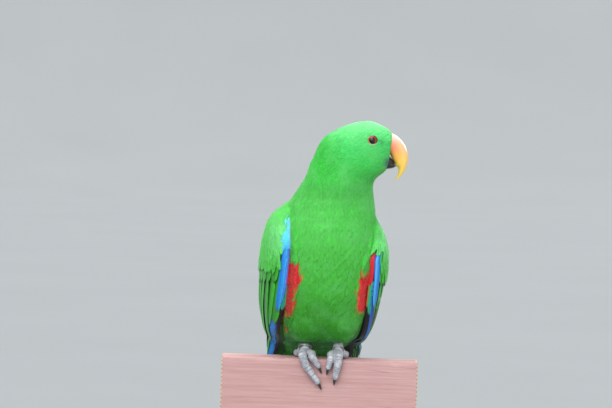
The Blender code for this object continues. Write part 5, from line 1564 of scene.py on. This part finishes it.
def make_feet(skin, horn):
    """Shanks, feet and toes in one scaled skin a side, and a claw past each toe's end."""
    for foot, name in enumerate(("right", "left")):
        ankle, palm = np.array(ANKLES[foot]), np.array(PALMS[foot])
        heading = unit(palm - ankle)
        lines = toe_plans(foot)
        shank_line = [ankle + heading * along for along in (-1.5, 4.0, 9.4, 14.0)]
        shank_end, palm_start = ankle + heading * 9.0, ankle + heading * 12.5
        palm_line = (shank_end, palm_start, palm + (0, 0, 0.6), palm + (0, -3.6, -0.3))
        parts = [limb(shank_line, (3.8, 3.7, 3.6, 3.7), 20, 20)]
        parts.append(limb(palm_line, (TARSUS_RADIUS - 0.3, TARSUS_RADIUS + 0.6, 5.2, 4.2), 20, 20))
        parts += [limb(line, radii, 20, 36, 0.04) for line, radii, _tip in lines]
        points, normals, quads = remeshed(parts, 0.42, 12)
        points, groove = scaled(points, normals, [(shank_line, None, None), *lines])
        shape = (points, [quads], {}, {"groove": groove})
        make_piece(f"foot_{name}_skin", shape, skin, (f"leg_{name}", f"foot_{name}"))
        for number, (line, radii, tip) in enumerate(lines):
            joint, before, tip = (np.array(v, float) for v in (line[-1], line[-2], tip))
            ahead = unit(joint - before)
            start = joint + ahead * radii[-1] * 0.3
            middle = start + ahead * np.linalg.norm(tip - start) * 0.5
            t = np.linspace(0, 1, 26)[:, None]
            centre = (1 - t) ** 2 * start + 2 * t * (1 - t) * middle + t**2 * tip
            thick = radii[-1] * 0.66 * (1 - t[:, 0]) ** 0.7 + 0.12
            along = unit(np.gradient(centre, axis=0))
            first = unit(np.array((1.0, 0.0, 0.0)) - along * along[:, :1])
            second = np.cross(along, first)
            turn = turns(20)
            keel = 1 + 0.12 * np.cos(2 * turn)
            ring = np.cos(turn)[None, :, None] * first[:, None, :] * 0.9
            ring = ring + (keel * np.sin(turn))[None, :, None] * second[:, None, :]
            rings = centre[:, None, :] + ring * thick[:, None, None]
            node = f"claw_{name}_{number + 1}"
            claw = outward(*closed_rings(rings, start, tip + along[-1] * 0.3))
            make_piece(node + "_horn", claw, horn, (node,))


def ring_finish():
    """Worn aluminium leg ring: brushed round its band, with fine scratches and a soft shine."""
    finish, shader, place = new_finish("worn_aluminium", 0.34, 1.0)
    flat = add(finish, "Mapping", {"Vector": place, "Scale": (1.0, 1.0, 6.0)})
    scratches = add(finish, "TexNoise", {"Vector": flat, "Scale": 900.0, "Detail": 4.0})
    colour = add(finish, "ValToRGB", {0: scratches}, stops=((0.3, "8C8D8F"), (0.7, "D5D6D8")))
    rough = add(finish, "MapRange", {0: scratches, 3: 0.22, 4: 0.5})
    return dress(finish, shader, {"Base Color": colour, "Roughness": rough})


def make_leg_ring(finish):
    """A flat band with rounded edges, turned round the right shank."""
    around, across, power = 72, 20, 0.35
    ankle = np.array(ANKLES[0])
    axis = unit(np.array(PALMS[0]) - ankle)
    centre = ankle + axis * LEG_RING_PLACE
    first = unit(np.cross(axis, (0.3, 1.0, 0.0)))
    second = np.cross(axis, first)
    lean, turn = turns(across), turns(around)
    rise = LEG_RING_HALF_HEIGHT * np.sign(np.sin(lean)) * np.abs(np.sin(lean)) ** power
    reach = LEG_RING_RADIUS + 0.45 * np.sign(np.cos(lean)) * np.abs(np.cos(lean)) ** power
    out = np.cos(turn)[:, None] * first + np.sin(turn)[:, None] * second
    points = centre + out[:, None, :] * reach[None, :, None] + axis * rise[None, :, None]
    shape = outward(points.reshape(-1, 3), torus_faces(around, across))
    make_piece("leg_ring_band", shape, finish, ("leg_ring",))


def rail_finish():
    """Softwood rail under an old dusty-rose stain: straight grain every 1 to 3 mm, redder lines where the
    stain sits in it, pale worn patches, a few fine checks, and bare year rings on its sawn ends."""
    finish, shader, place = new_finish("weathered_stained_softwood", 0.7)
    grain_place = add(finish, "Mapping", {"Vector": place, "Scale": (0.035, 0.8, 1.0)})
    grain = add(finish, "TexNoise", {"Vector": grain_place, "Scale": 520.0, "Detail": 5.0, "Roughness": 0.6})
    fine_place = add(finish, "Mapping", {"Vector": place, "Scale": (0.05, 1.0, 1.0)})
    fine = add(finish, "TexNoise", {"Vector": fine_place, "Scale": 1900.0, "Detail": 3.0, "Roughness": 0.7})
    worn_place = add(finish, "Mapping", {"Vector": place, "Scale": (0.25, 1.0, 1.0)})
    worn = add(finish, "TexNoise", {"Vector": worn_place, "Scale": 45.0, "Detail": 5.0, "Roughness": 0.6})
    shades = ((0.3, "B08583"), (0.46, "B78E8C"), (0.6, "BC9492"), (0.8, "C29C99"))
    colour = add(finish, "ValToRGB", {0: grain}, stops=shades)
    lines = add(finish, "MapRange", {0: fine, 1: 0.56, 2: 0.74, 3: 0.0, 4: 0.35})
    colour = add(finish, "Mix", {0: lines, 6: colour, 7: "9C6462"}, 2, data_type="RGBA")
    bare = add(finish, "MapRange", {0: worn, 1: 0.52, 2: 0.76, 3: 0.0, 4: 0.35})
    colour = add(finish, "Mix", {0: bare, 6: colour, 7: "D0B2AE"}, 2, data_type="RGBA")
    crack_place = add(finish, "Mapping", {"Vector": place, "Scale": (0.02, 0.4, 1.0)})
    cracks = add(finish, "TexVoronoi", {"Vector": crack_place, "Scale": 170.0}, feature="DISTANCE_TO_EDGE")
    check = add(finish, "MapRange", {0: cracks, 1: 0.0, 2: 0.018, 3: 1.0, 4: 0.0})
    here = add(finish, "MapRange", {0: worn, 1: 0.4, 2: 0.6, 3: 0.0, 4: 0.5})
    shown = add(finish, "Math", {0: check, 1: here}, operation="MULTIPLY")
    colour = add(finish, "Mix", {0: shown, 6: colour, 7: "7C4A48"}, 2, data_type="RGBA")
    x = add(finish, "SeparateXYZ", {0: place}, "X")
    from_middle = add(finish, "Math", {0: x}, operation="ABSOLUTE")
    half = RAIL_SIZE[0] / 2 * MM
    links = {0: from_middle, 1: half - 0.9 * MM, 2: half - 0.5 * MM, 3: 0.0, 4: 1.0}
    at_end = add(finish, "MapRange", links)
    links = {"Vector": place, "Location": (0.0, 0.06, -0.02), "Scale": (0.0, 1.0, 1.0)}
    pith = add(finish, "Mapping", links)
    links = {"Vector": pith, "Scale": 90.0, "Distortion": 2.0, "Detail": 2.0}
    rings = add(finish, "TexWave", links, 1, wave_type="RINGS", rings_direction="X")
    end_shades = ((0.2, "D9B38C"), (0.7, "C69870"), (0.95, "A26F4E"))
    end_colour = add(finish, "ValToRGB", {0: rings}, stops=end_shades)
    colour = add(finish, "Mix", {0: at_end, 6: colour, 7: end_colour}, 2, data_type="RGBA")
    ridges = add(finish, "Math", {0: fine, 1: 0.5, 2: grain}, operation="MULTIPLY_ADD")
    height = add(finish, "Math", {0: shown, 1: -1.0, 2: ridges}, operation="MULTIPLY_ADD")
    bump = add(finish, "Bump", {"Strength": 0.4, "Distance": 0.0003, "Height": height})
    return dress(finish, shader, {"Base Color": colour, "Normal": bump})


def rounded_outline(half_a, half_b, corner, per_corner):
    """Points of a rectangle with quarter-circle corners, with the straight sides divided evenly."""
    turn = np.linspace(0, math.pi / 2, per_corner)
    arc = np.stack([np.cos(turn), np.sin(turn)], axis=1) * corner
    points = []
    signs = ((1, 1), (-1, 1), (-1, -1), (1, -1))
    for k, (sa, sb) in enumerate(signs):
        piece = arc if k % 2 == 0 else arc[::-1]
        points.append(piece * (sa, sb) + (sa * (half_a - corner), sb * (half_b - corner)))
    ring = np.concatenate(points)
    closed = np.concatenate([ring, ring[:1]])
    extra = []
    for a, b in zip(closed[:-1], closed[1:]):
        number = max(1, int(np.linalg.norm(b - a) / 2.0))
        extra.append(a + (b - a) * (np.arange(number) / number)[:, None])
    return np.concatenate(extra)


def make_rail(finish):
    """The cut rail: a rounded oblong carried along X, with worn, slightly wavy edges and eased sawn
    ends."""
    half, half_depth, half_height = (size / 2 for size in RAIL_SIZE)
    outline = rounded_outline(half_depth, half_height, 1.7, 7)
    near_start, near_end = (-half, -half + 0.15, -half + 0.5), (half - 0.5, half - 0.15, half)
    places = np.concatenate([near_start, np.linspace(-half + 1.2, half - 1.2, 110), near_end])
    inset = np.interp(half - np.abs(places), (0, 0.15, 0.5, 1.2), (1.0, 0.55, 0.2, 0.0))
    from_side, from_top = half_depth - np.abs(outline[:, 0]), half_height - np.abs(outline[:, 1])
    corner = np.clip(np.minimum(from_side, from_top), 0, 3)
    at_corner = (np.abs(outline[:, 0]) > half_depth - 2) & (np.abs(outline[:, 1]) > half_height - 2)
    near_edge = at_corner * (3 - corner) / 3
    wave = 0.22 * np.sin(places * 0.21) + 0.16 * np.sin(places * 0.57 + 1.0)
    wave = wave + 0.12 * np.sin(places * 1.3 + 2.0)
    shrink = inset[:, None] + near_edge[None, :] * np.clip(0.25 + wave[:, None], 0, 1)
    out = outline / np.array((half_depth, half_height))
    ring = outline[None] - np.sign(out)[None] * (np.abs(out) > 0.9)[None] * shrink[..., None]
    middle = (RAIL_MIDDLE_Y, RAIL_TOP - half_height)
    x = np.broadcast_to(places[:, None], ring.shape[:2])
    rings = np.stack([x, ring[..., 0] + middle[0], ring[..., 1] + middle[1]], axis=-1)
    ends = [
        [rings[end] * (1, s, s) + (0, middle[0] * (1 - s), middle[1] * (1 - s)) for s in (0.66, 0.33)]
        for end in (0, -1)
    ]
    rings = np.concatenate([ends[0][::-1], rings, ends[1]])
    shape = outward(*closed_rings(rings, (-half, *middle), (half, *middle)))
    obj = make_piece("rail_wood", shape, finish, ("stand_perch_rail",))
    obj.data.set_sharp_from_angle(angle=math.radians(50))


def painted_finish():
    """Base board in warm grey satin paint over wood: nearly even, with faint brush marks and grain
    showing."""
    finish, shader, place = new_finish("satin_painted_wood", 0.42)
    long_place = add(finish, "Mapping", {"Vector": place, "Scale": (0.08, 1.0, 1.0)})
    brush = add(finish, "TexNoise", {"Vector": long_place, "Scale": 420.0, "Detail": 3.0})
    blotch = add(finish, "TexNoise", {"Vector": place, "Scale": 30.0, "Detail": 3.0})
    colour = add(finish, "Mix", {0: blotch, 6: "8B867E", 7: "989289"}, 2, data_type="RGBA")
    marks = add(finish, "MapRange", {0: brush, 1: 0.4, 2: 0.8, 3: 0.0, 4: 0.25})
    colour = add(finish, "Mix", {0: marks, 6: colour, 7: "6A655E"}, 2, data_type="RGBA")
    bump = add(finish, "Bump", {"Strength": 0.18, "Distance": 0.0002, "Height": brush})
    return dress(finish, shader, {"Base Color": colour, "Normal": bump})


def rod_finish():
    """Brushed steel rod: fine turning marks round it."""
    finish, shader, place = new_finish("brushed_steel", 0.3, 1.0)
    flat = add(finish, "Mapping", {"Vector": place, "Scale": (0.2, 0.2, 8.0)})
    marks = add(finish, "TexNoise", {"Vector": flat, "Scale": 300.0, "Detail": 3.0})
    colour = add(finish, "ValToRGB", {0: marks}, stops=((0.3, "9B9C9E"), (0.7, "C4C5C7")))
    rough = add(finish, "MapRange", {0: marks, 3: 0.22, 4: 0.42})
    return dress(finish, shader, {"Base Color": colour, "Roughness": rough})


def rounded_ring(half_a, half_b, corner, turn):
    """Points of a rounded rectangle in directions spread round its middle: the nearest point on it to a
    far circle."""
    spread = np.stack([np.cos(turn), np.sin(turn)], axis=1) * np.hypot(half_a, half_b)
    limit = np.array((half_a - corner, half_b - corner))
    core = np.clip(spread, -limit, limit)
    return core + unit(spread - core) * corner


def make_stand(paint, steel):
    """Base board, as rounded-square rings from the middle of its underside out, up an eased edge and in
    over its top, and two steel rods up to the rail."""
    floor = -PERCH[2]
    profile = [(60.0, 0.0), (20.0, 0.0), (1.0, 0.0), (0.3, 0.3), (0.0, 1.0), (0.0, 9.6), (0.15, 10.4)]
    profile += [(0.7, 11.2), (1.5, 11.7), (2.4, 11.95), (4.0, 12.0), (20.0, 12.0), (60.0, 12.0)]
    rings = []
    turn = turns(160)
    for inset, height in profile:
        corner = max(BASE_CORNER - inset, 3.0)
        outline = rounded_ring(BASE_SIZE[0] / 2 - inset, BASE_SIZE[1] / 2 - inset, corner, turn)
        rings.append(np.column_stack([outline - PERCH[:2], np.full(len(turn), floor + height)]))
    middle = -PERCH[:2]
    shape = outward(*closed_rings(np.array(rings), (*middle, floor), (*middle, floor + BASE_SIZE[2])))
    obj = make_piece("base_board", shape, paint, ("stand_base",))
    obj.data.set_sharp_from_angle(angle=math.radians(50))
    bottom, top = floor + BASE_SIZE[2], RAIL_TOP - RAIL_SIZE[2]
    turn = turns(48)
    for number, sign in enumerate((-1, 1)):
        middle = (sign * ROD_SPACING / 2, RAIL_MIDDLE_Y)
        circle = np.stack([np.cos(turn), np.sin(turn)], axis=1) * ROD_RADIUS + middle
        heights = np.linspace(bottom, top, 24)
        rings = np.array([np.column_stack([circle, np.full(len(turn), z)]) for z in heights])
        shape = outward(*closed_rings(rings, (*middle, bottom), (*middle, top)))
        node = f"stand_rod_{number + 1}"
        obj = make_piece(node + "_steel", shape, steel, (node,))
        obj.data.set_sharp_from_angle(angle=math.radians(50))


def make_camera():
    """The photograph's view: level but for a small tilt and roll, from far off with a long lens."""
    lean, roll = math.radians(CAMERA_ELEVATION), math.radians(CAMERA_ROLL)
    back = Vector((0.0, -math.cos(lean), math.sin(lean)))
    right = Vector((1.0, 0.0, 0.0))
    up = back.cross(right)
    right, up = right * math.cos(roll) + up * math.sin(roll), up * math.cos(roll) - right * math.sin(roll)
    data = bpy.data.cameras.new("camera")
    data.lens = CAMERA_LENS
    data.sensor_width = 36.0
    data.clip_end = 60.0
    camera = bpy.data.objects.new("camera", data)
    bpy.context.scene.collection.objects.link(camera)
    place = Vector((np.array(CAMERA_TARGET) + PERCH) * MM) + back * (CAMERA_DISTANCE * MM)
    turn = Matrix((right, up, back)).transposed().to_4x4()
    camera.matrix_world = Matrix.Translation(place) @ turn
    bpy.context.scene.camera = camera


def make_lamp(name, direction, strength, angle, colour):
    """A far, soft light from a direction."""
    data = bpy.data.lights.new(name, "SUN")
    data.energy = strength
    data.angle = math.radians(angle)
    data.color = colour
    lamp = bpy.data.objects.new(name, data)
    lamp.rotation_euler = Vector(direction).to_track_quat("Z", "Y").to_euler()
    bpy.context.scene.collection.objects.link(lamp)


def make_studio():
    """A pale bowl of floor and wall that shades nothing, an even pale sky, and soft lights from above, in
    front, behind and, weakly, from low on the right."""
    finish, shader, place = new_finish("matt_pale_floor", 0.9)
    speck = add(finish, "TexNoise", {"Vector": place, "Scale": 3.0, "Detail": 2.0})
    colour = add(finish, "Mix", {0: speck, 6: "8A8D8F", 7: "8F9294"}, 2, data_type="RGBA")
    dress(finish, shader, {"Base Color": colour, "Specular IOR Level": 0.1})
    curve = np.linspace(0.0, math.pi / 2, 18)
    reach = np.concatenate([np.linspace(0.3, 5.7, 14), 6.0 + 3.0 * np.sin(curve), [9.0]])
    rise = np.concatenate([np.zeros(14), 3.0 - 3.0 * np.cos(curve), [8.0]])
    sides = 96
    turn, across = turns(sides), reach[:, None]
    rings = np.stack([across * np.cos(turn), across * np.sin(turn), rise[:, None] + 0 * turn], axis=-1)
    start = np.arange(sides)
    middle = np.stack([np.roll(start, -1), start, np.full(sides, rings.size // 3)], axis=1)
    mesh = bpy.data.meshes.new("floor")
    faces = grid_faces(len(reach), sides, wrap=True).tolist() + middle.tolist()
    mesh.from_pydata(rings.reshape(-1, 3).tolist() + [(0.0, 0.0, 0.0)], [], faces)
    mesh.flip_normals()
    mesh.shade_smooth()
    mesh.materials.append(finish)
    floor = bpy.data.objects.new("floor", mesh)
    bpy.context.scene.collection.objects.link(floor)
    floor.visible_shadow = False
    floor.visible_diffuse = False
    floor.visible_glossy = False
    world = bpy.data.worlds.new("sky")
    world.use_nodes = True
    sky = world.node_tree.nodes["Background"]
    sky.inputs[0].default_value = (0.86, 0.94, 1.0, 1.0)
    sky.inputs[1].default_value = 0.6
    bpy.context.scene.world = world
    make_lamp("top_light", (-0.25, 0.05, 1.0), 2.7, 60, (1.0, 0.99, 0.96))
    make_lamp("front_light", (-0.35, -1.0, 0.75), 2.2, 50, (1.0, 0.98, 0.95))
    make_lamp("back_light", (0.6, 1.0, 0.5), 1.3, 30, (0.95, 0.98, 1.0))
    make_lamp("fill_light", (0.9, -0.7, -0.05), 0.9, 60, (1.0, 0.99, 0.96))
    bpy.context.scene.view_settings.view_transform = "Standard"


def main():
    """Every visible piece, then the camera and the studio."""
    coat, quills = coat_finish(), quill_finish()
    lower_horn = dark_horn("lower_bill_horn", "17161A", "3A3230")
    make_skin(skin_finish())
    make_coat(coat)
    make_side_feathers(coat)
    make_wings(quills, coat)
    make_tail(quills)
    make_bill(bill_finish(), lower_horn)
    make_mouth(lower_horn)
    make_eyes(eye_finish(), lid_finish())
    make_feet(foot_finish(), dark_horn("claw_horn", "1C1B1E", "4A4444"))
    make_leg_ring(ring_finish())
    make_rail(rail_finish())
    make_stand(painted_finish(), rod_finish())
    make_camera()
    make_studio()


main()
